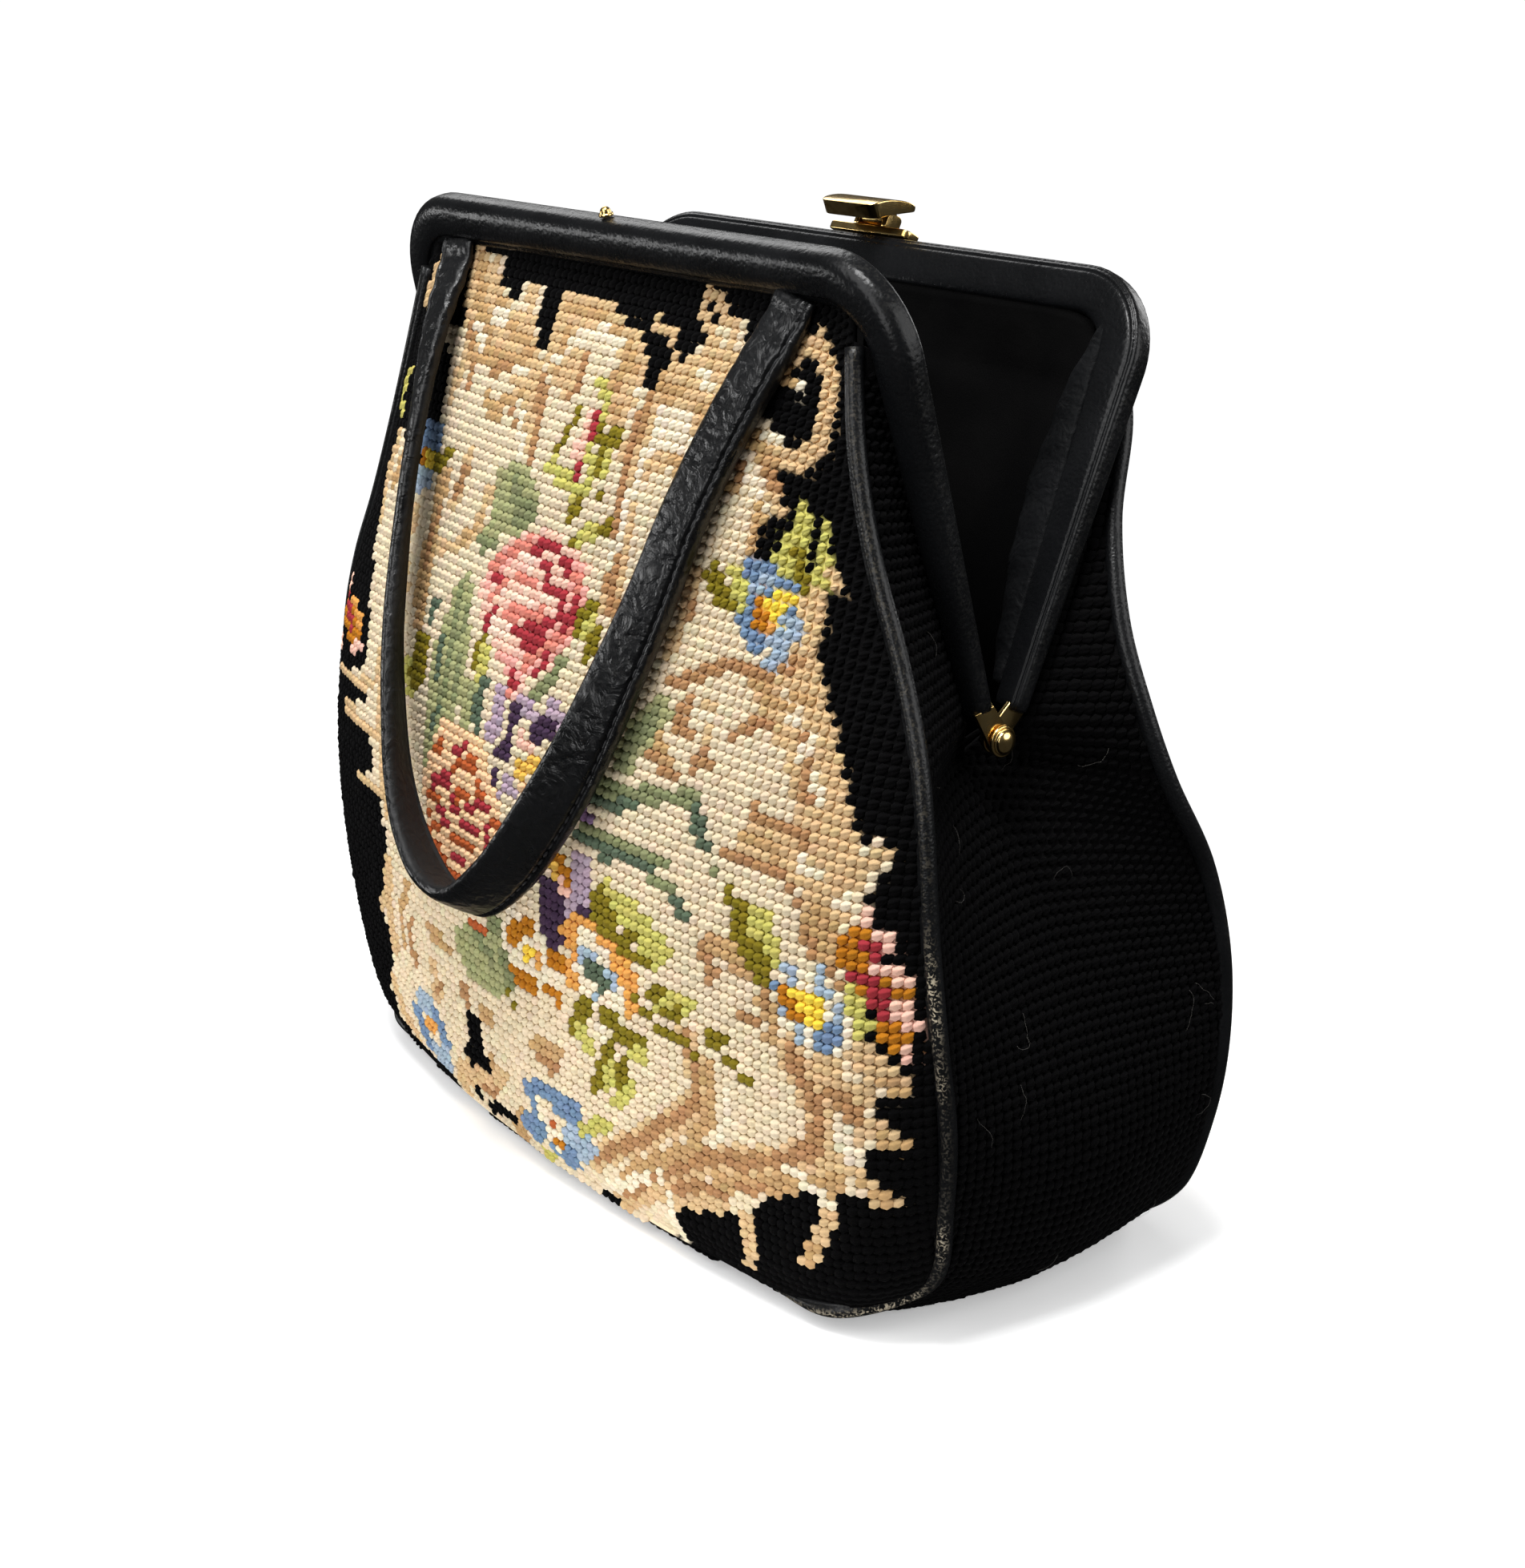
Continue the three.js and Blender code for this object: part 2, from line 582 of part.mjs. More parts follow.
function roundedOutline(left, right, low, high, radius) {
  const outline = new THREE.Shape();
  outline.moveTo(left + radius, low);
  outline.lineTo(right - radius, low);
  outline.absarc(right - radius, low + radius, radius, -0.5 * Math.PI, 0);
  outline.absarc(right - radius, high - radius, radius, 0, 0.5 * Math.PI);
  outline.absarc(left + radius, high - radius, radius, 0.5 * Math.PI, Math.PI);
  outline.absarc(left + radius, low + radius, radius, Math.PI, 1.5 * Math.PI);
  return outline;
}

// Lever about its pin: a bevelled plate on a stem whose eye turns between the ears.
function leverGeometry() {
  const inner = LEVER_HALF_LENGTH - LEVER_BEVEL;
  const plateOutline = roundedOutline(-inner, inner, LEVER_FRONT + LEVER_BEVEL, LEVER_REAR - LEVER_BEVEL, LEVER_CORNER);
  const plate = new THREE.ExtrudeGeometry(plateOutline, {
    depth: LEVER_THICKNESS - 2 * LEVER_BEVEL,
    bevelThickness: LEVER_BEVEL,
    bevelSize: LEVER_BEVEL,
    bevelSegments: 1,
    curveSegments: 3,
  }).translate(0, 0, LEVER_UNDERSIDE + LEVER_BEVEL);
  const stemOutline = new THREE.Shape();
  stemOutline.moveTo(STEM_RADIUS, LEVER_UNDERSIDE + LEVER_BEVEL);
  stemOutline.lineTo(-STEM_RADIUS, LEVER_UNDERSIDE + LEVER_BEVEL);
  stemOutline.absarc(0, 0, STEM_RADIUS, Math.PI, 2 * Math.PI);
  stemOutline.closePath();
  const bore = new THREE.Path();
  bore.absarc(0, 0, PIN_RADIUS + RIVET_CLEARANCE, 0, 2 * Math.PI, true);
  stemOutline.holes.push(bore);
  const stem = turnAcross(new THREE.ExtrudeGeometry(stemOutline, {
    depth: 2 * STEM_HALF_WIDTH,
    bevelEnabled: false,
    curveSegments: 6,
  }).translate(0, 0, -STEM_HALF_WIDTH));
  const joined = asManifold(plate).add(asManifold(stem)).getMesh();
  const geometry = new THREE.BufferGeometry();
  geometry.setAttribute('position', new THREE.BufferAttribute(joined.vertProperties, 3));
  geometry.setIndex(new THREE.BufferAttribute(joined.triVerts, 1));
  geometry.computeVertexNormals();
  return geometry;
}

function studGeometry() {
  const profile = [
    [0, 0], [STUD_RADIUS + 0.5, 0], [STUD_RADIUS + 0.5, 0.7], [STUD_RADIUS, 0.9],
    [0.95 * STUD_RADIUS, 0.6 * STUD_HEIGHT], [0.6 * STUD_RADIUS, 0.92 * STUD_HEIGHT], [0, STUD_HEIGHT],
  ];
  return new THREE.LatheGeometry(profile.map(([radius, along]) => new THREE.Vector2(radius, along)), 12)
    .rotateX(0.5 * Math.PI);
}

// Soft body: two panels, the gusset between them, piping in the seams and a lining behind each wall.
const frontSheet = panelSheet(FRONT_HALF, SEAM_ALLOWANCE);
const frontPanel = addMesh(bag, 'front_panel', wall(frontSheet, CANVAS_THICKNESS, 0), 'needlepoint');
const backSheet = panelSheet(BACK_HALF, SEAM_ALLOWANCE);
addMesh(bag, 'back_panel', wall(backSheet, CANVAS_THICKNESS, 0), 'needlepoint');
addMesh(bag, 'gusset', wall(gussetSheet(SEAM_STATIONS.slice(1), SEAM_ALLOWANCE), CANVAS_THICKNESS, 0), 'canvas');
addMesh(bag, 'front_piping', pipingGeometry(FRONT_HALF), 'leather');
addMesh(bag, 'back_piping', pipingGeometry(BACK_HALF), 'leather');
const liningSheets = {
  front_lining: panelSheet(FRONT_HALF, LINING_ALLOWANCE),
  back_lining: panelSheet(BACK_HALF, LINING_ALLOWANCE),
  gusset_lining: gussetSheet(LINING_STATIONS, LINING_ALLOWANCE),
};
for (const [name, sheet] of Object.entries(liningSheets)) {
  addMesh(bag, name, wall(sheet, LINING_THICKNESS, -LINING_INSET), 'lining');
}
addMesh(bag, 'handle_strap', strapGeometry(frontPanel), 'leather');

// Frame halves with their hinge tabs, turned open about the hinge line.
const frontGroup = halfGroup(FRONT_HALF);
addMesh(frontGroup, 'front_frame', railGeometry(FRONT_HALF), 'leather');
const backGroup = halfGroup(BACK_HALF);
addMesh(backGroup, 'back_frame', railGeometry(BACK_HALF), 'leather');
for (const [group, half, name, across] of [
  [frontGroup, FRONT_HALF, 'front_tab', FRONT_TAB_ACROSS],
  [backGroup, BACK_HALF, 'back_tab', BACK_TAB_ACROSS],
]) {
  addMesh(group, `${name}_right`, tabGeometry(half.side), 'gold').position.x = across;
  addMesh(group, `${name}_left`, tabGeometry(half.side), 'gold').position.x = -across - TAB_THICKNESS;
}
const rightRivet = addMesh(bag, 'hinge_rivet_right', rivetGeometry(), 'gold');
rightRivet.position.set(RIVET_HEAD_ACROSS, 0, HINGE_HEIGHT);
const leftRivet = addMesh(bag, 'hinge_rivet_left', rivetGeometry(), 'gold');
leftRivet.position.set(-RIVET_HEAD_ACROSS, 0, HINGE_HEIGHT);
leftRivet.rotation.z = Math.PI;

// Catch stud on the front bar, and the clasp on the back bar with its lever resting forward.
const stud = addMesh(frontGroup, 'catch_stud', studGeometry(), 'gold');
stud.position.set(CLASP_ACROSS, FRONT_HALF.side * CLASP_OUT, ARM_LENGTH + CLASP_SEAT_GAP);
const clasp = new THREE.Group();
clasp.position.set(CLASP_ACROSS, BACK_HALF.side * CLASP_OUT, PIVOT_HEIGHT);
backGroup.add(clasp);
addMesh(clasp, 'clasp_base', claspBaseGeometry(), 'gold');
const pinGeometry = new THREE.CylinderGeometry(PIN_RADIUS, PIN_RADIUS, 2 * PIN_HALF_LENGTH, 12);
addMesh(clasp, 'clasp_pin', pinGeometry, 'gold').rotation.z = 0.5 * Math.PI;
addMesh(clasp, 'clasp_lever', leverGeometry(), 'gold').rotation.x = LEVER_DROP;

export default standing;
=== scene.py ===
import math

import bpy
import numpy as np
from mathutils import Matrix, Vector


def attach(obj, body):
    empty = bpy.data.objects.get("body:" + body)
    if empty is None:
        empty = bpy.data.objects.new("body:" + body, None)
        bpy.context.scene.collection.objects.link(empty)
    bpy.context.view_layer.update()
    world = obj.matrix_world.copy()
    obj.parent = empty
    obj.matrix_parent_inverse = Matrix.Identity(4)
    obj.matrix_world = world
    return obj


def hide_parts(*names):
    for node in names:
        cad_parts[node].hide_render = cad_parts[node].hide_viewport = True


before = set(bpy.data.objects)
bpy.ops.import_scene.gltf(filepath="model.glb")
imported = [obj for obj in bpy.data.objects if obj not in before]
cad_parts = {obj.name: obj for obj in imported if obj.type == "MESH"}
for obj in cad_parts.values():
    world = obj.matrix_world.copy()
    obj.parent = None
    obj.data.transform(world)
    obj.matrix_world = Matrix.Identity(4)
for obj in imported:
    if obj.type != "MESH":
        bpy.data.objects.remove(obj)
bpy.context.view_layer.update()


# Frame halves: two bent metal rails, each wrapped in one piece of black leather that is turned in
# along a thin welt. Both swing on the same hinge line and stand open in a V.
MM = 0.001
HINGE_DEPTH = 2.0
HINGE_HEIGHT = 132.5
HALVES = {"front": (-1, math.radians(14.2)), "back": (1, math.radians(25.5))}
FRAME_HALF_WIDTH = 98.5
ARM_FLARE = 4.5
ARM_LENGTH = 110.6
CORNER_RADIUS = 24.0
RAIL_WIDTH = 11.5
RAIL_DEPTH = 8.0
ARM_END_WIDTH = 7.5
ARM_END_DEPTH = 5.6
ARM_END_HEIGHT = 9.0
MATING_GAP = 0.4
RAIL_SIDES = 80
ARM_TIP_HEIGHTS = (7.2, 7.5, 8.1, 9.4)
ARM_TIP_SIZES = (0.55, 0.82, 0.95)
ARM_START = 12.0
ARM_RINGS = 22
BEND_RINGS = 14
BAR_REACH = 70.0
BAR_RINGS = 15


class Tone:
    """A value, colour or vector of a material. Arithmetic on it adds the nodes that work it out."""

    def __init__(self, tree, socket=None):
        self.tree = tree
        self.socket = socket

    def node(self, kind, settings, sockets, output=0):
        made = self.tree.nodes.new(kind)
        for name, value in settings.items():
            setattr(made, name, value)
        for name, value in sockets.items():
            if isinstance(value, Tone):
                self.tree.links.new(value.socket, made.inputs[name])
            else:
                made.inputs[name].default_value = value
        return Tone(self.tree, made.outputs[output])

    def math(self, operation, *values):
        return self.node("ShaderNodeMath", {"operation": operation}, dict(enumerate(values)))

    def __add__(self, other):
        return self.math("ADD", self, other)

    def __radd__(self, other):
        return self.math("ADD", other, self)

    def __sub__(self, other):
        return self.math("SUBTRACT", self, other)

    def __rsub__(self, other):
        return self.math("SUBTRACT", other, self)

    def __mul__(self, other):
        return self.math("MULTIPLY", self, other)

    def __rmul__(self, other):
        return self.math("MULTIPLY", other, self)

    def between(self, low, high):
        """0 below low, 1 above high, and a smooth step between them."""
        settings = {"interpolation_type": "SMOOTHSTEP"}
        return self.node("ShaderNodeMapRange", settings, {"Value": self, "From Min": low, "From Max": high})

    def mixed(self, low, high):
        """Colour that goes from low to high as this value goes from 0 to 1."""
        sockets = {0: self, 6: low, 7: high}
        return self.node("ShaderNodeMix", {"data_type": "RGBA"}, sockets, output=2)

    def scaled(self, factor):
        """This colour made lighter or darker."""
        return self.node("ShaderNodeVectorMath", {"operation": "SCALE"}, {"Vector": self, "Scale": factor})

    def noise(self, scale, detail=3.0, distortion=0.0):
        """Soft noise of a number of waves a metre, at this place."""
        sockets = {"Vector": self, "Scale": scale, "Detail": detail, "Distortion": distortion}
        return self.node("ShaderNodeTexNoise", {}, sockets)

    def attribute(self, name, output="Fac"):
        return self.node("ShaderNodeAttribute", {"attribute_name": name}, {}, output)


def new_finish(name, **sockets):
    """Material with its shader and a Tone at the place on the piece, in metres."""
    finish = bpy.data.materials.new(name)
    finish.use_nodes = True
    shader = finish.node_tree.nodes["Principled BSDF"]
    for socket, value in sockets.items():
        shader.inputs[socket.replace("_", " ")].default_value = value
    place = Tone(finish.node_tree).node("ShaderNodeTexCoord", {}, {}, "Object")
    return finish, shader, place


def feed(shader, **tones):
    for socket, tone in tones.items():
        tone.tree.links.new(tone.socket, shader.inputs[socket.replace("_", " ")])


def bumped(height, distance, strength=1.0):
    sockets = {"Height": height, "Distance": distance * MM, "Strength": strength}
    return height.node("ShaderNodeBump", {}, sockets)


def leather(name, grain, crease, relief, roughness, shine, worn):
    """Black leather: pebbled grain and relief in millimetres, soft creases, rubbed and dull places."""
    finish, shader, place = new_finish(name, Specular_IOR_Level=shine)
    pebbles = {"Vector": place, "Scale": 1 / (grain * MM)}
    cells = place.node("ShaderNodeTexVoronoi", {"feature": "SMOOTH_F1"}, pebbles)
    fine = place.noise(2400.0)
    folds = place.noise(230.0, 3.0, 1.2)
    clouds = place.noise(38.0)
    scratches = place.noise(900.0, 4.0, 1.5).between(0.5, 0.62)
    rubbed = place.attribute("wear") * scratches
    dull = place.attribute("dull")
    black = clouds.between(0.3, 0.7).mixed((0.0028, 0.003, 0.0034, 1), (0.0052, 0.0055, 0.0062, 1))
    feed(
        shader,
        Base_Color=rubbed.mixed(black, worn),
        Roughness=roughness + 0.14 * clouds + 0.06 * cells + 0.35 * rubbed + 0.5 * dull,
        Normal=bumped(0.5 * cells + 0.1 * fine + crease * folds, relief),
    )
    return finish


def on_half(half, across, out, up):
    """Places on a frame half: across, out from the mating plane, up along its arms from the hinge."""
    side, tilt = HALVES[half]
    depth = HINGE_DEPTH + side * (up * np.sin(tilt) + out * np.cos(tilt))
    height = HINGE_HEIGHT + up * np.cos(tilt) - out * np.sin(tilt)
    return np.stack(np.broadcast_arrays(across, depth, height), -1)


def rail_at(up):
    """Outer edge, width and depth of an arm at a height above the hinge."""
    share = np.clip((up - ARM_END_HEIGHT) / (ARM_LENGTH - CORNER_RADIUS - ARM_END_HEIGHT), 0, 1)
    outer = FRAME_HALF_WIDTH + ARM_FLARE * (1 - share)
    width = ARM_END_WIDTH + (RAIL_WIDTH - ARM_END_WIDTH) * share
    return outer, width, ARM_END_DEPTH + (RAIL_DEPTH - ARM_END_DEPTH) * share


def ring_angles(count):
    """Angles of the points round a ring, half a step off its first axis."""
    return (np.arange(count) + 0.5) / count * 2 * np.pi


def ridge(value, middle, width):
    """1 at the middle of a rounded ridge, falling to almost 0 at twice its width."""
    return np.exp(-(((value - middle) / width) ** 2))


def rail_rings(half):
    """Rings of one rail, from the right arm's end over the bar to the left arm's end."""
    up = np.append(ARM_TIP_HEIGHTS, np.linspace(ARM_START, ARM_LENGTH - CORNER_RADIUS, ARM_RINGS))
    outer, width, depth = rail_at(up)
    arm = np.stack([outer - 0.5 * width, up], -1)
    bend = np.linspace(0, 0.5 * np.pi, BEND_RINGS + 1)[1:]
    around = np.stack([np.cos(bend), np.sin(bend)], -1) * (CORNER_RADIUS - 0.5 * RAIL_WIDTH)
    corner = np.array([FRAME_HALF_WIDTH - CORNER_RADIUS, ARM_LENGTH - CORNER_RADIUS]) + around
    bar_height = np.full(BAR_RINGS, ARM_LENGTH - 0.5 * RAIL_WIDTH)
    bar = np.stack([np.linspace(BAR_REACH, 0, BAR_RINGS), bar_height], -1)
    centre = np.vstack([arm, corner, bar])
    turn = np.concatenate([np.zeros(len(arm)), bend, np.full(BAR_RINGS, 0.5 * np.pi)])
    past_arm = len(centre) - len(arm)
    width = np.append(width, np.full(past_arm, RAIL_WIDTH))
    depth = np.append(depth, np.full(past_arm, RAIL_DEPTH))
    size = np.ones(len(centre))
    size[: len(ARM_TIP_SIZES)] = ARM_TIP_SIZES
    angle = ring_angles(RAIL_SIDES)
    cosine = np.cos(angle)
    sine = np.sin(angle)
    square = np.where(sine < 0, 0.3, 0.95)
    breadth = 0.5 * np.sign(cosine) * np.abs(cosine) ** np.where(sine < 0, 0.7, 0.85)
    thick = 0.5 * np.sign(sine) * np.abs(sine) ** square
    welt = 0.55 * ridge(angle, 2.86, 0.15) - 0.6 * ridge(angle, 2.47, 0.11)
    grooves = 0.26 * ridge(angle, 5.3, 0.08) + 0.22 * ridge(angle, 5.66, 0.08)
    swell = welt - grooves
    rings = []
    for hand in (1, -1):
        order = slice(None) if hand > 0 else slice(-2, None, -1)
        for middle, bent, wide, deep, scale in zip(
            centre[order], turn[order], width[order], depth[order], size[order]
        ):
            offset = scale * (wide * breadth + swell * cosine)
            out = MATING_GAP + deep * (0.5 + scale * thick) + np.maximum(scale * swell * sine, -0.5 * deep)
            across = hand * (middle[0] + np.cos(bent) * offset)
            rings.append(on_half(half, across, out, middle[1] + np.sin(bent) * offset))
    return np.array(rings)


def loft(rings):
    """Closed skin over rows of rings, each end closed by a fan about its middle."""
    rows, count = rings.shape[:2]
    number = np.arange(rows * count).reshape(rows, count)
    beside = np.roll(number, -1, axis=1)
    quads = np.stack([number[:-1], beside[:-1], beside[1:], number[1:]], -1).reshape(-1, 4)
    points = np.vstack([rings.reshape(-1, 3), rings[0].mean(0), rings[-1].mean(0)])
    first = np.stack([beside[0], number[0], np.full(count, rows * count)], -1)
    last = np.stack([number[-1], beside[-1], np.full(count, rows * count + 1)], -1)
    return points, [quads, np.vstack([first, last])]


def volume_of(points, faces):
    total = 0.0
    for group in faces:
        for corner in range(1, group.shape[1] - 1):
            a, b, c = points[group[:, 0]], points[group[:, corner]], points[group[:, corner + 1]]
            total += np.einsum("ij,ij->", a, np.cross(b, c))
    return total


def add_piece(name, points, faces, finish, body="bag", smooth=180.0):
    """Piece made of points in millimetres and groups of faces, that rides on a body of the bag."""
    if volume_of(points, faces) < 0:
        faces = [group[:, ::-1] for group in faces]
    corners = np.concatenate([group.ravel() for group in faces]).astype(np.int32)
    sizes = np.concatenate([np.full(len(group), group.shape[1]) for group in faces])
    mesh = bpy.data.meshes.new(name)
    mesh.vertices.add(len(points))
    mesh.vertices.foreach_set("co", (np.ravel(points) * MM).astype(np.float32))
    mesh.loops.add(len(corners))
    mesh.loops.foreach_set("vertex_index", corners)
    mesh.polygons.add(len(sizes))
    mesh.polygons.foreach_set("loop_start", (np.cumsum(sizes) - sizes).astype(np.int32))
    mesh.update(calc_edges=True)
    mesh.validate()
    mesh.shade_smooth()
    if smooth < 180:
        mesh.set_sharp_from_angle(angle=math.radians(smooth))
    mesh.materials.append(finish)
    piece = bpy.data.objects.new(name, mesh)
    bpy.context.scene.collection.objects.link(piece)
    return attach(piece, body)


def add_values(piece, name, values):
    """Numbers, or rows of three or four numbers, kept with the points of a piece for its material."""
    values = np.asarray(values, np.float32)
    kinds = {1: ("FLOAT", "value"), 3: ("FLOAT_VECTOR", "vector"), 4: ("FLOAT_COLOR", "color")}
    kind, field = kinds[1 if values.ndim == 1 else values.shape[1]]
    piece.data.attributes.new(name, kind, "POINT").data.foreach_set(field, values.ravel())


frame_leather = leather("frame_leather", 0.9, 0.9, 0.16, 0.19, 0.2, (0.12, 0.115, 0.1, 1))
rail_angle = ring_angles(RAIL_SIDES)
outer_edge = ridge(np.minimum(rail_angle, 2 * np.pi - rail_angle), 0, 0.5)
for half in HALVES:
    rings = rail_rings(half)
    rail = add_piece(f"{half}_rail", *loft(rings), frame_leather)
    near_bend = ridge(np.abs(rings[:, 0, 0]), 88, 14)[:, None]
    wear = (0.03 + 0.05 * near_bend) * outer_edge
    add_values(rail, "wear", np.append(wear.ravel(), [0, 0]))
    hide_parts(f"{half}_frame")


# Panels: two pieces of single-thread canvas, worked all over in tent stitch in wool, with a bouquet
# in a cream scroll cartouche on black. Each hangs from its rail and swells out over the base.
# Both seams of a panel, station by station from the rail to the middle of the base
SEAM_COLUMNS = ("half width", "height", "front", "back", "setback", "bulge")
SEAM_TABLE = np.array([
    [89.5, 199, -33.5, 47, 0.5, 3.5],
    [97.5, 177, -34.8, 37, 1, 6.5],
    [108, 156, -35.3, 30.5, 2, 8],
    [116.5, 138, -37.0, 30.5, 3, 8.5],
    [121, 122, -38.2, 35.0, 3.5, 9],
    [124, 101, -38.4, 46.0, 4, 9],
    [126.4, 78, -36.8, 51.6, 5, 8.5],
    [127.2, 56, -33.7, 52.4, 6, 8],
    [124.6, 37, -31.1, 52.2, 7, 7],
    [120.5, 20, -28.6, 49.5, 8, 4.5],
    [112, 11, -28.4, 49.0, 9, 0],
    [101, 6, -41.0, 57.0, 8.5, 0],
    [60, 3.8, -46.5, 61.0, 4, 0],
    [0, 3.4, -48.5, 62.0, 0, 0],
])
# Start of each seam under its rail: across, out and up on the frame half
SEAM_START = (84.0, 7.4, 95.0)
CORNER_STATION = 11
LAST_STATION = 14
PANEL_SEAT = 3.9
PITCH = 2.54
SKEW = 0.022
CANVAS_ROWS = 90
CANVAS_COLUMNS = 101
CANVAS_OUTER = 0.3
CANVAS_INNER = -1.1
STITCH_LEAN = math.radians(36)
STITCH_HALF_LENGTH = 1.86
STITCH_HALF_WIDTH = 1.4
STITCH_SIDES = 6
STITCH_DRIFT = 0.07
PANEL_STITCH_HEIGHT = 0.92
# Middle of a stitch in its own square of the map for baking
BAKE_CENTRE = (0.37, 0.5)

WOOLS = {
    "black": (0.0013, 0.0012, 0.0014),
    "cream": (0.71, 0.59, 0.41),
    "white": (0.78, 0.68, 0.505),
    "straw": (0.62, 0.43, 0.23),
    "tan": (0.5, 0.315, 0.145),
    "brown": (0.4, 0.215, 0.098),
    "shell": (0.86, 0.62, 0.49),
    "blush": (0.83, 0.5, 0.39),
    "pink": (0.81, 0.37, 0.31),
    "salmon": (0.66, 0.22, 0.165),
    "crimson": (0.33, 0.032, 0.042),
    "peach": (0.82, 0.54, 0.31),
    "rust": (0.42, 0.095, 0.028),
    "amber": (0.44, 0.16, 0.012),
    "orange": (0.71, 0.33, 0.08),
    "gold": (0.74, 0.45, 0.085),
    "yellow": (0.86, 0.6, 0.06),
    "olive": (0.2, 0.155, 0.013),
    "lime": (0.52, 0.48, 0.125),
    "sage": (0.34, 0.345, 0.165),
    "moss": (0.215, 0.235, 0.115),
    "teal": (0.095, 0.13, 0.085),
    "lilac": (0.43, 0.325, 0.4),
    "purple": (0.215, 0.13, 0.235),
    "plum": (0.055, 0.03, 0.06),
    "blue": (0.155, 0.235, 0.36),
    "sky": (0.33, 0.415, 0.5),
}

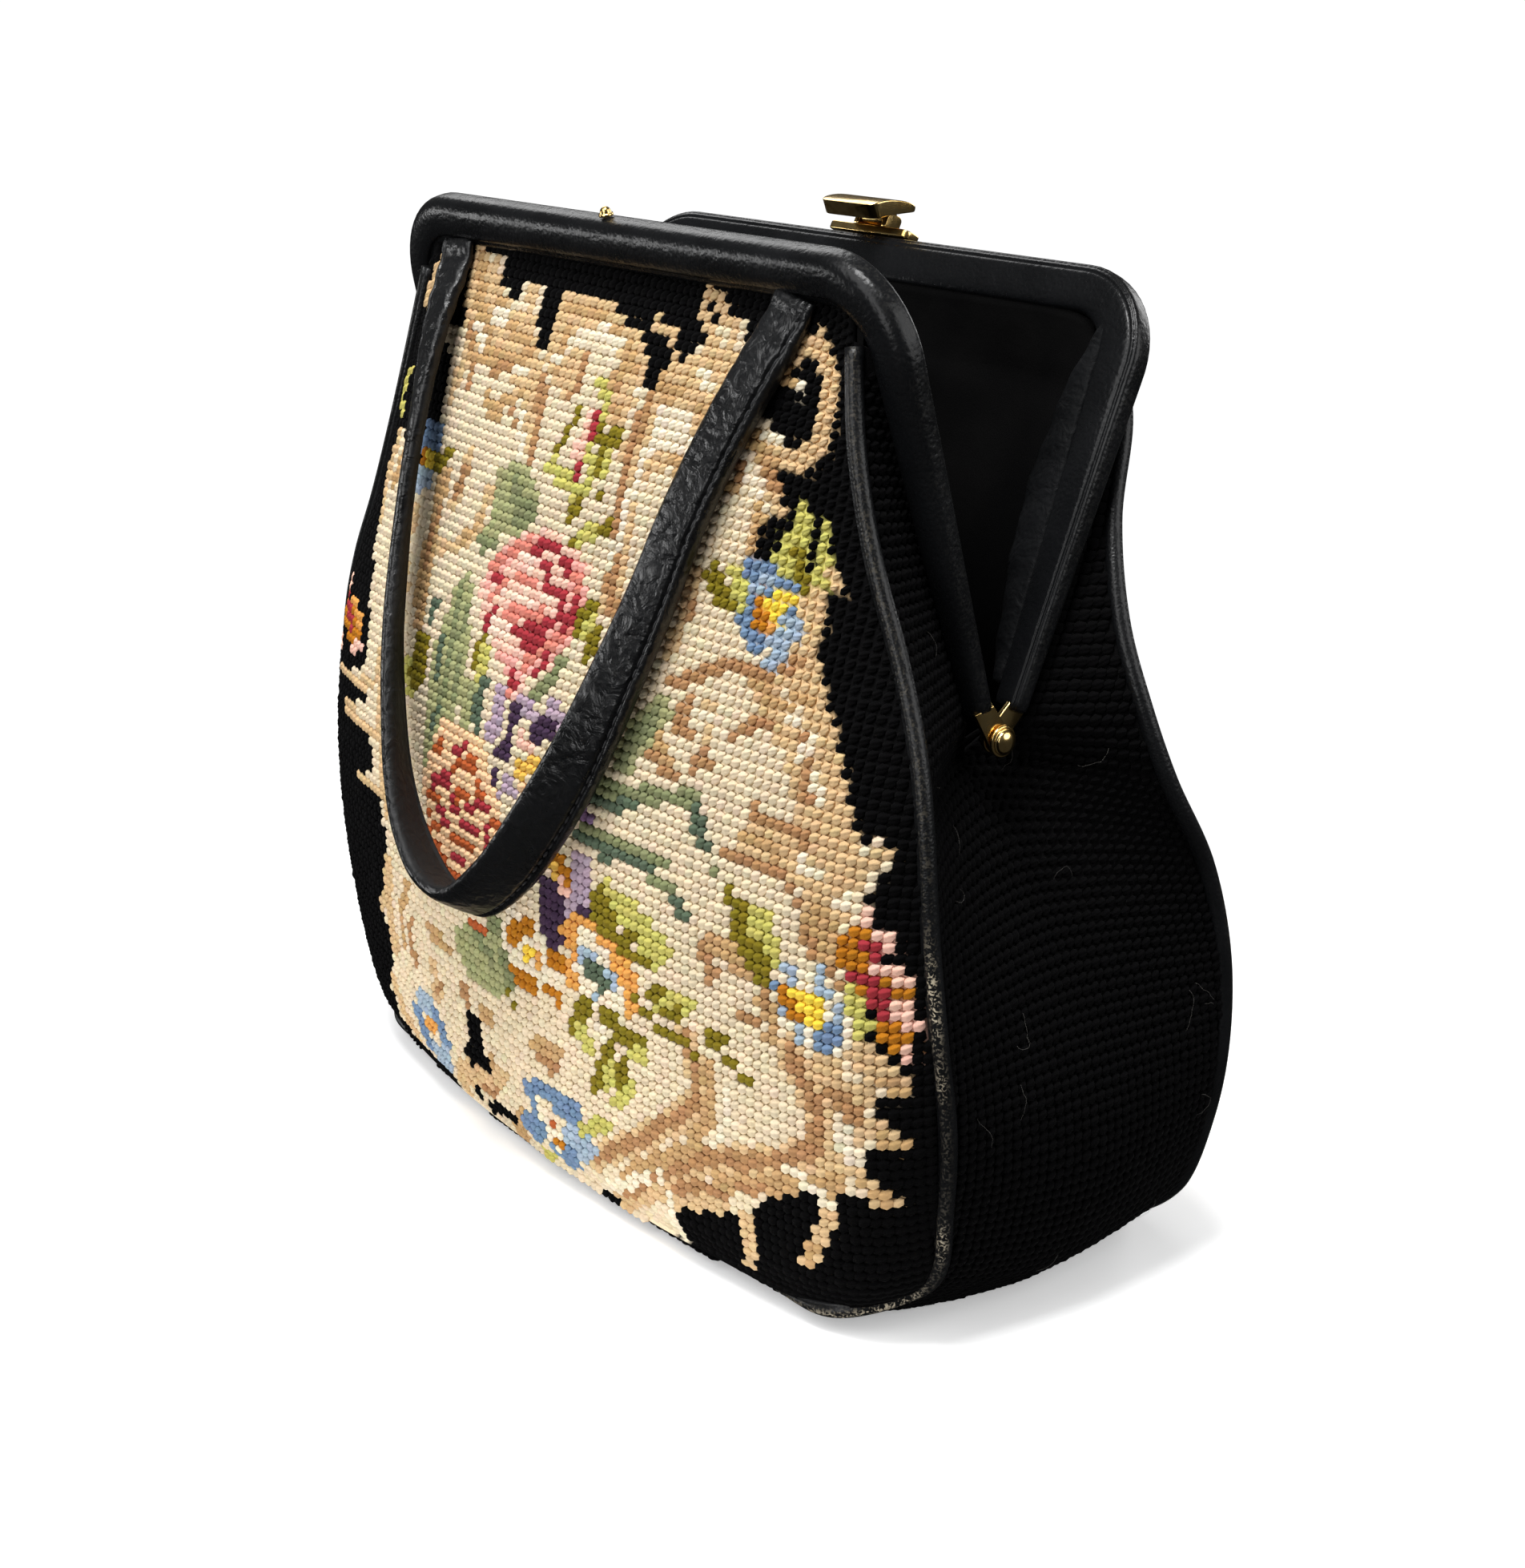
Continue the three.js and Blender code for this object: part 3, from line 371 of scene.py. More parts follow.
# The pattern in the order it is worked, by place on the front panel: across and height. A row with a
# width is a line of that width through its places, and a row with no width fills the outline.
PATTERN = [
    ("cream", 0, (-64, 231), (-59, 231), (-59, 224), (-54, 226), (-50, 226), (-50, 220), (-44, 217),
     (-40, 214), (-38, 220), (-30, 220), (-29, 211), (-24, 204), (-22, 208), (-22, 218), (-17, 221),
     (-3, 220), (4, 216), (12, 215), (18, 210), (19, 203), (22, 201), (25, 201), (26, 208), (30, 208),
     (33, 212), (38, 216), (41, 221), (48, 220), (53, 214), (57, 201), (63, 201), (68, 197),
     (68, 188), (69, 182), (67, 172), (66, 166), (86, 166), (88, 156), (90, 151), (94, 146),
     (98, 140), (101, 136), (103, 130), (106, 124), (109, 119), (114, 121), (116, 115), (113, 110),
     (113, 100), (112, 84), (115, 76), (118, 74), (120, 71), (123, 66), (120, 65), (117, 63),
     (118, 60), (121, 56), (122, 52), (119, 52), (115, 51), (113, 48), (116, 45), (119, 37),
     (115, 39), (112, 41), (107, 38), (98, 35.5), (92, 33.5), (87, 30), (84, 26), (80, 21), (72, 20),
     (64, 17), (55, 16.5), (52, 11), (50, 0), (-50, 0), (-52, 10), (-70, 9), (-84, 14), (-86, 21),
     (-79, 33), (-80, 41), (-85, 47), (-73, 61), (-75, 68), (-78, 80), (-94, 81), (-82, 87),
     (-84, 95), (-105, 98), (-87, 105), (-113, 107), (-90, 113), (-90, 124), (-92, 136), (-95, 148),
     (-95, 160), (-90, 174), (-85, 177), (-79, 166), (-66, 170), (-64, 184), (-65, 192), (-64, 198),
     (-69, 201), (-69, 206), (-61, 208), (-61, 212), (-64, 215)),
    # Outer flames of the cartouche
    ("straw", 3.2, (18, 217), (25, 214), (29, 209)),
    ("straw", 3.0, (33, 221), (38, 216), (42, 212)),
    ("straw", 3.4, (34, 226), (40, 222), (46, 218)),
    ("straw", 5.0, (63, 213), (68, 217), (73, 218.5), (78, 214), (81, 207), (80.5, 199), (76, 194),
     (70, 194)),
    ("tan", 3.0, (64, 211), (69, 210)),
    ("white", 2.6, (70, 208.5), (70.6, 208.5)),
    ("straw", 4.6, (104, 36), (105, 31), (102, 25), (98.5, 18)),
    ("tan", 3.0, (100, 22), (98, 17)),
    ("straw", 4.6, (80.5, 22), (80.5, 15), (78, 9)),
    ("white", 3.2, (53, 14), (52, 9), (54, 5)),
    ("straw", 4.0, (68, 188), (72, 184)),
    ("straw", 4.0, (114, 118), (110, 112)),
    ("straw", 3.6, (-62, 228), (-60, 218)),
    ("straw", 3.0, (-53, 223), (-51, 218)),
    ("straw", 4.0, (-34, 218), (-32, 208)),
    ("straw", 3.4, (-103, 99), (-82, 97)),
    ("straw", 3.0, (-93, 81.5), (-78, 82)),
    ("straw", 3.0, (-110, 107), (-84, 109)),
    ("straw", 4.0, (-88, 175), (-93, 164), (-93, 152)),
    ("tan", 2.8, (-84, 172), (-88, 163)),
    ("straw", 3.4, (-75, 225), (-80, 219), (-83, 211), (-80, 205)),
    ("straw", 4.0, (-84, 48), (-75, 56)),
    # Tan and brown shading of the scrolls, top left
    ("straw", 0, (-64, 226), (-59, 226), (-50, 219), (-40, 213), (-30, 212), (-24, 204), (-20, 200),
     (-16, 188), (-18, 178), (-22, 182), (-26, 192), (-36, 198), (-46, 200), (-56, 196), (-62, 186),
     (-60, 204), (-64, 212)),
    ("tan", 5.0, (-60, 222), (-56, 212), (-50, 206)),
    ("tan", 3.5, (-47, 214), (-38, 208), (-28, 205)),
    ("brown", 3.2, (-58, 206), (-54, 198), (-54, 192)),
    ("tan", 4.0, (-55, 200), (-46, 202), (-32, 201)),
    ("brown", 2.6, (-44, 198.5), (-33, 199)),
    ("white", 3.0, (-49, 211), (-42, 210.5)),
    ("white", 3.0, (-55, 207), (-51, 204)),
    ("white", 2.6, (-34, 200.5), (-28, 199.5)),
    ("brown", 3.6, (-20, 199), (-18, 190), (-18.5, 180)),
    ("tan", 3.0, (-44, 192), (-38, 190), (-28, 194)),
    ("brown", 2.6, (-30, 189), (-26, 187)),
    ("tan", 2.6, (-42, 187), (-36, 188)),
    ("white", 3.0, (-26, 189), (-22, 180)),
    ("straw", 4.0, (-46, 178), (-48, 170), (-52, 163)),
    ("brown", 3.2, (-47, 174), (-50, 166)),
    ("straw", 4.0, (-34, 170), (-37, 160), (-46, 154), (-56, 152)),
    ("tan", 3.0, (-36, 162), (-44, 156)),
    ("tan", 6.0, (-58, 170), (-60, 156), (-61, 142), (-60, 133)),
    ("brown", 2.6, (-59, 162), (-61, 146)),
    ("straw", 4.0, (-72, 158), (-74, 148), (-70, 138)),
    # The round lobe over the bouquet
    ("straw", 0, (-22, 203), (-22, 218), (-17, 221), (-3, 220), (4, 216), (12, 215), (18, 210),
     (19, 201), (15, 193), (6, 194), (8, 207), (-12, 213), (-14, 206), (-4, 208), (-4, 200),
     (-9, 195), (-16, 199)),
    ("tan", 2.8, (-18, 217), (-4, 216), (8, 211), (14, 206)),
    ("white", 4.0, (-11, 209), (-2, 212), (6, 210)),
    ("brown", 3.4, (-6, 207), (-4.5, 200), (-8, 196)),
    ("tan", 3.0, (-16, 212), (-16, 203)),
    ("white", 2.6, (-18, 204), (-15, 204)),
    ("tan", 3.4, (9, 205), (8, 197), (13, 195)),
    ("brown", 2.6, (10, 202), (7, 196)),
    ("white", 3.0, (17, 202), (19, 200)),
    # Right of the lobe, round the strap
    ("straw", 0, (26, 204), (34, 212), (46, 215), (56, 205), (58, 196), (48, 196), (42, 188),
     (34, 188), (24, 150), (18, 150), (20, 172), (17, 190)),
    ("brown", 4.2, (23, 199), (20.5, 188), (20, 174), (22, 158), (25, 152)),
    ("white", 3.2, (38, 208), (44, 205)),
    ("white", 5.0, (29, 197), (37, 197)),
    ("white", 3.4, (27, 193), (40, 192)),
    ("white", 3.0, (27, 190), (24, 178), (21, 163)),
    ("tan", 3.4, (33, 203), (28, 201), (25, 205)),
    ("tan", 3.0, (42, 200), (50, 197)),
    ("cream", 9.0, (32, 180), (30, 166), (30, 154)),
    ("tan", 4.0, (39, 187), (36, 189)),
    ("tan", 5.0, (58, 196), (63, 196), (67, 193)),
    ("brown", 2.8, (57, 190), (60, 187)),
    ("brown", 2.8, (66, 191), (70, 187)),
    ("tan", 3.0, (54, 186), (58, 185)),
    ("white", 3.0, (59, 193), (62, 189), (65, 185)),
    ("white", 3.0, (64, 198), (69, 197)),
    ("tan", 3.4, (67, 182), (66, 174)),
    ("straw", 4.0, (50, 166), (49, 156), (46, 148)),
    ("brown", 2.0, (51, 160), (50, 155)),
    # Scrolls to the right of the bouquet
    ("straw", 7.0, (87, 165), (86, 155), (91, 147), (97, 138), (101, 130), (106, 120), (107, 106)),
    ("straw", 10.0, (92, 134), (97, 126), (100, 114), (103, 104)),
    ("straw", 5.0, (85, 150), (77, 144), (84, 138), (92, 138)),
    ("brown", 3.0, (85, 153), (78, 149), (66, 149), (56, 144), (49, 141)),
    ("tan", 3.6, (90, 146), (82, 143), (75, 146)),
    ("brown", 3.2, (82, 139), (76, 137), (71, 134)),
    ("brown", 4.2, (56, 138), (52, 134), (57, 131)),
    ("straw", 3.4, (58, 136), (63, 138), (64, 131)),
    ("white", 3.0, (59, 136), (62, 136)),
    ("brown", 2.6, (64, 128), (61, 125), (66, 126)),
    ("brown", 3.6, (43, 127), (47, 125)),
    ("brown", 3.4, (50, 122), (56, 121)),
    ("tan", 3.0, (47, 130), (52, 124)),
    ("brown", 3.0, (91, 137), (95, 131), (95, 125)),
    ("white", 3.4, (94, 138), (91, 134)),
    ("white", 3.0, (96, 131), (98, 127)),
    ("white", 2.6, (86, 142), (89, 140)),
    ("straw", 0, (74, 107), (83, 120), (92, 121), (106, 114), (106, 104), (98, 106), (88, 106)),
    ("brown", 2.6, (73, 109), (84, 109), (92, 108)),
    ("brown", 2.8, (80, 120), (88, 119), (97, 117)),
    ("tan", 3.0, (80, 114), (90, 112)),
    ("brown", 2.6, (93, 106), (97, 104)),
    ("white", 3.4, (96, 112), (101, 110)),
    ("white", 3.0, (104, 104), (109, 107)),
    ("tan", 8.0, (102, 100), (106, 96)),
    ("brown", 3.0, (99, 97), (102, 93)),
    ("brown", 3.0, (105, 92), (108, 89)),
    ("tan", 5.0, (70, 86), (76, 87), (82, 84)),
    ("brown", 4.4, (69, 84), (72, 80)),
    ("brown", 2.8, (81, 73), (86, 72)),
    ("tan", 4.6, (88, 78), (92, 75), (90, 70)),
    ("brown", 2.6, (88, 82), (89, 79)),
    # Lower right scroll and its fringe
    ("straw", 6.0, (114, 74), (119, 69)),
    ("tan", 2.8, (117, 70), (121, 67)),
    ("straw", 7.0, (106, 70), (110, 63), (114, 64)),
    ("straw", 5.0, (115, 58), (120, 54)),
    ("tan", 2.6, (118, 55), (121, 53)),
    ("straw", 6.0, (112, 55), (109, 46)),
    ("straw", 4.6, (112, 46), (118, 39)),
    ("tan", 2.8, (114, 43), (117, 40)),
    ("brown", 5.0, (108, 62), (112, 60)),
    ("straw", 9.0, (96, 69), (101, 62), (105, 55), (103, 47), (94, 41), (81, 37), (67, 32), (53, 24),
     (38, 13)),
    ("brown", 4.2, (96, 69), (101, 62), (104, 55), (102, 48), (94, 42), (81, 37), (67, 33), (53, 24),
     (38, 13)),
    ("white", 5.0, (109, 55), (112, 49)),
    ("cream", 0, (79, 62), (93, 66), (97, 58), (94, 49), (88, 43), (79, 43)),
    ("straw", 6.4, (63, 62), (66, 56), (67, 48), (61, 41), (49, 32), (34, 22), (24, 16)),
    ("brown", 3.6, (63, 62), (66, 56), (66, 48), (60, 41), (49, 32), (34, 22), (24, 16)),
    ("tan", 4.4, (70, 56), (71, 50), (69, 42), (62, 33), (48, 24), (35, 14)),
    ("white", 3.0, (75, 52), (76, 47), (72, 38)),
    ("tan", 5.0, (71, 28), (86, 33), (98, 38), (108, 41)),
    ("brown", 2.8, (86, 32), (78, 29)),
    ("white", 3.0, (95, 40), (101, 38), (105, 36)),
    ("straw", 7.0, (72, 24), (62, 20), (52, 17)),
    ("brown", 2.8, (74, 26), (64, 24), (56, 20)),
    ("white", 3.0, (50, 22), (53, 18), (52, 9)),
    ("straw", 6.0, (46, 16), (36, 9), (26, 4)),
    ("brown", 3.0, (42, 15), (32, 8)),
    ("white", 3.4, (46, 20), (36, 13), (24, 7)),
    ("black", 3.2, (24, 4.6), (28, 4.6)),
    # Lower left scrolls
    ("brown", 5.0, (5, 37), (11, 36)),
    ("tan", 4.4, (3, 39), (14, 41)),
    ("brown", 3.4, (-32, 43), (-31, 38)),
    ("tan", 3.4, (-24, 38), (-18, 38)),
    ("tan", 3.0, (-20, 27), (-19, 22)),
    ("straw", 5.0, (-50, 42), (-46, 36), (-50, 33)),
    ("brown", 3.4, (-45, 38), (-49, 34)),
    ("tan", 4.0, (-49, 52), (-40, 50)),
    ("straw", 5.0, (-14, 24), (-22, 18), (-34, 14)),
    ("brown", 2.8, (-20, 16), (-27, 14)),
    ("straw", 6.0, (-30, 20), (-40, 14), (-46, 6)),
    ("tan", 6.0, (-6, 16), (-12, 9), (-16, 5)),
    ("black", 6.0, (-28, 33), (-27, 26), (-33, 22)),
    ("black", 5.0, (-26, 24), (-23, 23)),
    ("black", 3.6, (-14, 11), (-23, 10), (-30, 7)),
    ("black", 3.0, (-33, 12), (-35, 8)),
    ("straw", 6.0, (-75, 62), (-77, 50), (-76, 38)),
    ("tan", 4.0, (-62, 60), (-68, 52), (-68, 42)),
    ("brown", 2.8, (-62, 50), (-64, 44), (-60, 38)),
    ("straw", 5.0, (-82, 26), (-80, 18), (-72, 12)),
    ("straw", 5.0, (-79, 118), (-78, 104), (-75, 92), (-73, 78)),
    ("tan", 3.4, (-70, 112), (-72, 100), (-69, 88)),
    # Rosebud and its leaves
    ("lime", 3.6, (3, 201), (8, 197), (8, 191)),
    ("olive", 2.8, (-1.5, 195), (-2, 192)),
    ("blush", 4.6, (3, 194), (2, 184)),
    ("crimson", 2.8, (6, 193), (4.6, 188)),
    ("crimson", 2.6, (2.6, 182), (1.4, 178)),
    ("lime", 4.4, (5, 185), (12, 182), (10, 188)),
    ("olive", 2.8, (8.6, 191), (10, 183)),
    ("olive", 3.0, (12, 190), (16, 190)),
    ("olive", 2.8, (11, 178), (13, 177)),
    ("olive", 2.8, (-5.4, 189), (-7, 183)),
    ("lime", 4.6, (-8, 180), (-2, 178), (4, 176)),
    ("lime", 3.6, (7, 179), (4, 173)),
    ("olive", 3.2, (4.6, 174), (2, 169)),
    ("lime", 3.8, (15, 169), (8, 167), (6, 164)),
    ("olive", 2.6, (18, 171), (16, 169)),
    ("olive", 2.4, (6, 166), (4, 165)),
    # Sage leaves left of the rose
    ("sage", 0, (-31, 176), (-22, 179), (-15, 177), (-12, 171), (-18, 162), (-27, 160), (-35, 156),
     (-32, 166)),
    ("moss", 4.4, (-23, 173), (-18, 168), (-13, 169)),
    ("moss", 3.4, (-19, 165), (-15, 163)),
    ("moss", 4.0, (-34, 157), (-29, 158)),
    ("sage", 0, (-39, 151), (-35, 145), (-32, 134), (-32, 120), (-38, 104), (-49, 96), (-50, 112),
     (-49, 126), (-45, 140)),
    ("moss", 3.0, (-40, 145), (-40, 132), (-42, 118), (-46, 106)),
    ("moss", 3.0, (-35, 128), (-36, 118)),
    ("teal", 2.6, (-45, 132), (-46, 122)),
    ("moss", 2.6, (-36, 140), (-37, 134)),
    ("teal", 2.6, (-44, 114), (-45, 108)),
    ("teal", 2.8, (-52, 139), (-53, 134)),
    ("lime", 6.0, (-62, 121), (-60, 116)),
    ("olive", 8.0, (-56, 127), (-57, 119)),
    ("olive", 3.6, (-26, 135), (-28, 128)),
    ("lime", 3.6, (-24, 133), (-25, 125)),
    ("sage", 6.0, (-28, 122), (-29, 114)),
    ("teal", 4.2, (-22, 125), (-24, 118), (-22, 111)),
    # The rose
    ("blush", 0, (-30, 152), (-22, 160), (-12, 164), (-3, 166), (5, 163), (13, 160), (12, 150),
     (9, 142), (5, 134), (-3, 130), (-8, 123), (-12, 130), (-19, 134), (-27, 138), (-31, 146)),
    ("pink", 5.0, (-28, 149), (-20, 157), (-10, 162)),
    ("pink", 7.0, (9, 158), (10, 149), (5, 140), (-1, 134)),
    ("pink", 4.0, (-17, 133), (-9, 131)),
    ("salmon", 3.0, (-27, 152), (-20, 158), (-13, 161)),
    ("salmon", 3.0, (-25, 146), (-20, 150)),
    ("salmon", 4.0, (9, 157), (11, 150), (7, 143)),
    ("salmon", 3.6, (-18, 143), (-9, 145), (-2, 146)),
    ("salmon", 3.4, (-6, 134), (0, 137), (5, 142)),
    ("salmon", 2.8, (-14, 153), (-6, 151)),
    ("salmon", 2.6, (-9, 129), (-9, 125)),
    ("crimson", 3.2, (-9, 160), (-3, 163), (3, 160), (6, 156)),
    ("crimson", 3.0, (-4, 157), (-2, 153), (4, 153), (5, 148), (2, 144)),
    ("crimson", 4.2, (-11, 140), (-4, 141), (0, 144)),
    ("crimson", 3.0, (-8, 137), (-1, 139)),
    ("crimson", 2.8, (-27, 149), (-23, 151)),
    ("crimson", 2.6, (-26, 139), (-23, 143)),
    ("crimson", 2.8, (10, 151), (8, 145)),
    ("crimson", 3.0, (-10, 130), (-8, 127)),
    ("crimson", 2.8, (0, 132), (3, 137)),
    ("shell", 4.2, (-19, 147.5), (-9, 148)),
    ("shell", 4.4, (-22, 138.5), (-16, 139)),
    ("shell", 3.0, (-16, 157), (-9, 156)),
    ("shell", 2.6, (-4, 149), (0, 150)),
    # Small leaves right of the rose
    ("olive", 3.6, (16, 152), (12, 146)),
    ("lime", 3.0, (18, 150), (15, 145)),
    ("olive", 4.2, (20, 145), (18, 140)),
    ("moss", 3.6, (9, 137), (3, 129), (-2, 122)),
    # Iris
    ("lilac", 5.4, (-13, 124), (-16, 113)),
    ("plum", 4.6, (-7, 122), (-8, 112), (-12, 110)),
    ("plum", 2.8, (-14, 106), (-12, 103)),
    ("lilac", 4.4, (-3, 125), (2, 122)),
    ("plum", 5.4, (3, 119), (8, 121)),
    ("lilac", 4.4, (8, 126), (14, 123)),
    ("blush", 4.0, (-2, 116), (4, 113)),
    ("gold", 5.0, (-1, 109), (6, 112)),
    ("peach", 3.2, (0, 105), (4, 106)),
    ("lilac", 4.4, (-8, 104), (-4, 103)),
    ("lilac", 3.0, (-11, 99), (-10, 94)),
    ("purple", 6.0, (16, 116), (22, 108), (26, 104)),
    ("plum", 5.0, (12, 110), (18, 102)),
    # Carnation
    ("peach", 0, (-40, 112), (-29, 111), (-19, 111), (-15, 103), (-8, 96), (-6, 90), (-14, 80),
     (-24, 72), (-33, 67), (-40, 72), (-46, 82), (-49, 94), (-45, 104)),
    ("rust", 2.8, (-34, 101), (-28, 103), (-22, 106)),
    ("rust", 3.4, (-22, 102), (-18, 97)),
    ("rust", 3.2, (-30, 94), (-26, 96)),
    ("crimson", 4.4, (-43, 95), (-36, 97)),
    ("rust", 3.0, (-45, 91), (-41, 90)),
    ("rust", 3.0, (-46, 85), (-42, 83)),
    ("crimson", 4.2, (-39, 88), (-36, 85)),
    ("crimson", 3.4, (-28, 88), (-21, 87)),
    ("crimson", 3.2, (-15, 90), (-16, 84)),
    ("crimson", 2.8, (-19, 95), (-15, 94)),
    ("rust", 3.2, (-32, 82), (-23, 82)),
    ("rust", 3.2, (-47, 80), (-39, 76)),
    ("rust", 4.0, (-40, 72), (-27, 72)),
    ("rust", 2.8, (-19, 79), (-13, 82)),
    ("rust", 2.6, (-12, 92), (-8, 93)),
    ("crimson", 2.6, (-33, 106), (-27, 107)),
    ("crimson", 2.8, (-31, 90), (-34, 92)),
    ("crimson", 2.8, (-34, 78), (-29, 77)),
    ("crimson", 2.8, (-25, 92), (-22, 92)),
    ("rust", 2.6, (-44, 102), (-40, 105)),
    ("rust", 2.8, (-23, 77), (-20, 75)),
    # Leaf and small yellow flower below
    ("sage", 0, (-34, 58), (-26, 62), (-12, 63), (-4, 62), (-3, 55), (-10, 47), (-20, 46), (-28, 46),
     (-33, 51)),
    ("moss", 4.0, (-21, 59), (-16, 56)),
    ("moss", 6.0, (-9, 58), (-6, 54)),
    ("olive", 2.6, (-8, 49), (-6, 47)),
    ("rust", 2.6, (-25, 61.5), (-17, 63)),
    ("moss", 4.0, (-14, 66), (-9, 65)),
    ("white", 9.0, (-3, 70), (9, 68), (14, 62), (4, 59), (-5, 64)),
    ("amber", 4.6, (-4, 66), (4, 71)),
    ("yellow", 5.2, (3, 64), (4, 64)),
    ("orange", 3.6, (7, 63), (7.6, 64)),
    ("amber", 3.6, (-4, 56), (5, 55)),
    ("amber", 3.4, (11, 56), (15, 55)),
    ("amber", 5.0, (13, 64), (18, 66)),
    # Pansy
    ("plum", 10.0, (13, 81), (14, 73)),
    ("amber", 6.0, (14, 93), (18, 88)),
    ("gold", 3.2, (13, 90), (15, 87)),
    ("lilac", 9.0, (26, 92), (25, 84)),
    ("blush", 3.6, (18, 85), (20, 82)),
    ("plum", 4.2, (23, 79), (29, 82)),
    ("lilac", 3.6, (20, 80), (22, 78)),
    # Orange and white flower
    ("orange", 7.0, (21, 74), (26, 77), (36, 76), (43, 70), (44, 64), (36, 61), (22, 63)),
    ("white", 6.0, (27, 74), (33, 73), (40, 63), (28, 61), (25, 66)),
    ("sky", 3.6, (26, 70), (29, 71)),
    ("sky", 4.0, (35, 68), (38, 67)),
    ("teal", 5.4, (29, 68), (33, 66)),
    ("sky", 2.6, (31, 62), (32, 62)),
    ("orange", 3.0, (20, 66), (22, 68)),
    # Olive and lime leaves round it
    ("lime", 9.0, (36, 87), (44, 85), (54, 80)),
    ("olive", 8.6, (33, 85), (35, 82)),
    ("olive", 3.4, (38, 78), (50, 76)),
    ("olive", 2.8, (43, 81), (46, 81)),
    ("lime", 5.4, (54, 67), (64, 70)),
    ("olive", 3.2, (51, 69), (56, 70)),
    ("olive", 3.4, (55, 65), (62, 67)),
    ("olive", 2.4, (45, 66), (48, 63), (54, 61), (64, 61)),
    ("olive", 4.4, (72, 64), (75, 65)),
    ("olive", 2.6, (77, 61), (80, 59), (84, 59)),
    ("olive", 2.4, (65, 58), (65.6, 58)),
    ("olive", 5.4, (27, 57), (21, 50)),
    ("lime", 5.4, (24, 50), (27, 46)),
    ("olive", 5.4, (35, 57), (41, 54), (46, 55)),
    ("lime", 4.0, (45, 50), (48, 53)),
    ("white", 3.0, (31, 54), (33, 51)),
    ("olive", 4.0, (36, 50), (32, 43), (28, 36)),
    ("lime", 4.4, (36, 46), (33, 39)),
    ("olive", 4.4, (40, 47), (38, 41)),
    ("lime", 3.2, (44, 44), (40, 38), (35, 36)),
    # Blades and leaves to the right
    ("moss", 4.0, (28, 112), (41, 114), (52, 116), (62, 118)),
    ("teal", 3.2, (28, 109), (36, 110), (43, 112)),
    ("teal", 3.6, (63, 115), (67, 109)),
    ("moss", 4.0, (26, 101), (38, 102), (54, 101)),
    ("teal", 3.4, (23, 99), (34, 98), (50, 99)),
    ("moss", 3.2, (52, 97), (58, 95)),
    ("teal", 3.8, (60, 94), (62, 91)),
    ("moss", 2.4, (70, 105), (71, 104)),
    ("sage", 8.0, (47, 135), (42, 128), (38, 121)),
    ("moss", 5.4, (45, 132), (36, 120)),
    ("lime", 6.4, (87, 97), (89, 90), (88, 87)),
    ("olive", 7.0, (80, 97), (82, 90), (87, 85)),
    ("lime", 3.0, (84, 98), (85, 92)),
    ("olive", 2.8, (75, 102), (77, 98)),
    # Blue flower at the upper right, with its leaves
    ("blue", 9.0, (69, 168), (78, 168)),
    ("blue", 9.0, (68, 160), (70, 164)),
    ("blue", 8.0, (72, 156), (80, 160)),
    ("sky", 6.0, (78, 156), (82, 160)),
    ("sky", 4.4, (78, 151), (80, 154)),
    ("sky", 3.4, (70, 166), (74, 168)),
    ("amber", 5.4, (72, 163), (73, 159)),
    ("orange", 2.8, (75, 160), (75, 158)),
    ("yellow", 4.4, (75, 163), (79, 165)),
    ("yellow", 2.8, (77, 161), (77, 160)),
    ("lime", 0, (80, 188), (76, 180), (72, 172), (80, 169), (93, 170), (88, 177), (86, 183), (83, 180)),
    ("olive", 4.0, (80, 175), (83, 169)),
    ("straw", 3.2, (89, 173), (92, 170)),
    ("black", 2.0, (84, 180), (84.4, 173)),
    ("olive", 5.4, (56, 166), (60, 162)),
    ("lime", 5.0, (63, 168), (65, 163)),
    ("olive", 2.6, (61, 161), (63, 161)),
    # Blue flower at the upper left
    ("blue", 7.0, (-70, 178), (-65, 179)),
    ("sky", 6.0, (-73, 166), (-67, 168)),
    ("blue", 5.0, (-76, 172), (-75, 176)),
    ("amber", 4.0, (-71, 172), (-70, 171)),
    ("yellow", 4.4, (-68, 173), (-65, 173)),
    ("olive", 4.0, (-63, 172), (-57, 175)),
    ("lime", 5.0, (-76, 185), (-78, 190), (-74, 194)),
    ("olive", 3.0, (-77, 188), (-73, 186)),
    ("lime", 3.0, (-87, 193), (-91, 186), (-88, 180)),
    # Blue and white flower near the right edge
    ("white", 17.0, (100, 81), (104, 79)),
    ("sky", 3.6, (95, 88), (97, 85)),
    ("sky", 3.6, (104, 89), (105, 85)),
    ("blue", 3.0, (92, 84), (93, 83)),
    ("sky", 3.6, (99, 77), (98, 74)),
    ("blue", 4.6, (104, 73), (107, 77)),
    ("sky", 3.0, (108, 82), (108, 80)),
    ("amber", 5.0, (94, 82), (97, 79)),
    ("yellow", 6.4, (101, 82), (103, 79)),
    ("yellow", 3.0, (96, 84), (98, 84)),
    ("sky", 2.6, (92.6, 79), (93, 78.6)),
    ("lime", 4.6, (112, 87), (114, 80)),
    # Pink and rust flower on the right edge
    ("blush", 5.0, (112, 96), (117, 99)),
    ("amber", 4.0, (109, 96), (112, 101)),
    ("blush", 3.0, (113, 105), (112.6, 103)),
    ("amber", 7.0, (112, 93), (119, 88)),
    ("crimson", 3.2, (113, 98), (115, 97)),
    ("crimson", 3.6, (112, 91), (117, 89)),
    ("blush", 3.4, (117, 94), (121, 91)),
    ("crimson", 3.4, (117, 85), (118, 83)),
    ("blush", 4.4, (120, 85), (122, 82)),
    ("amber", 4.6, (119, 80), (121, 77)),
    ("blush", 2.6, (121.4, 75.6), (122, 75)),
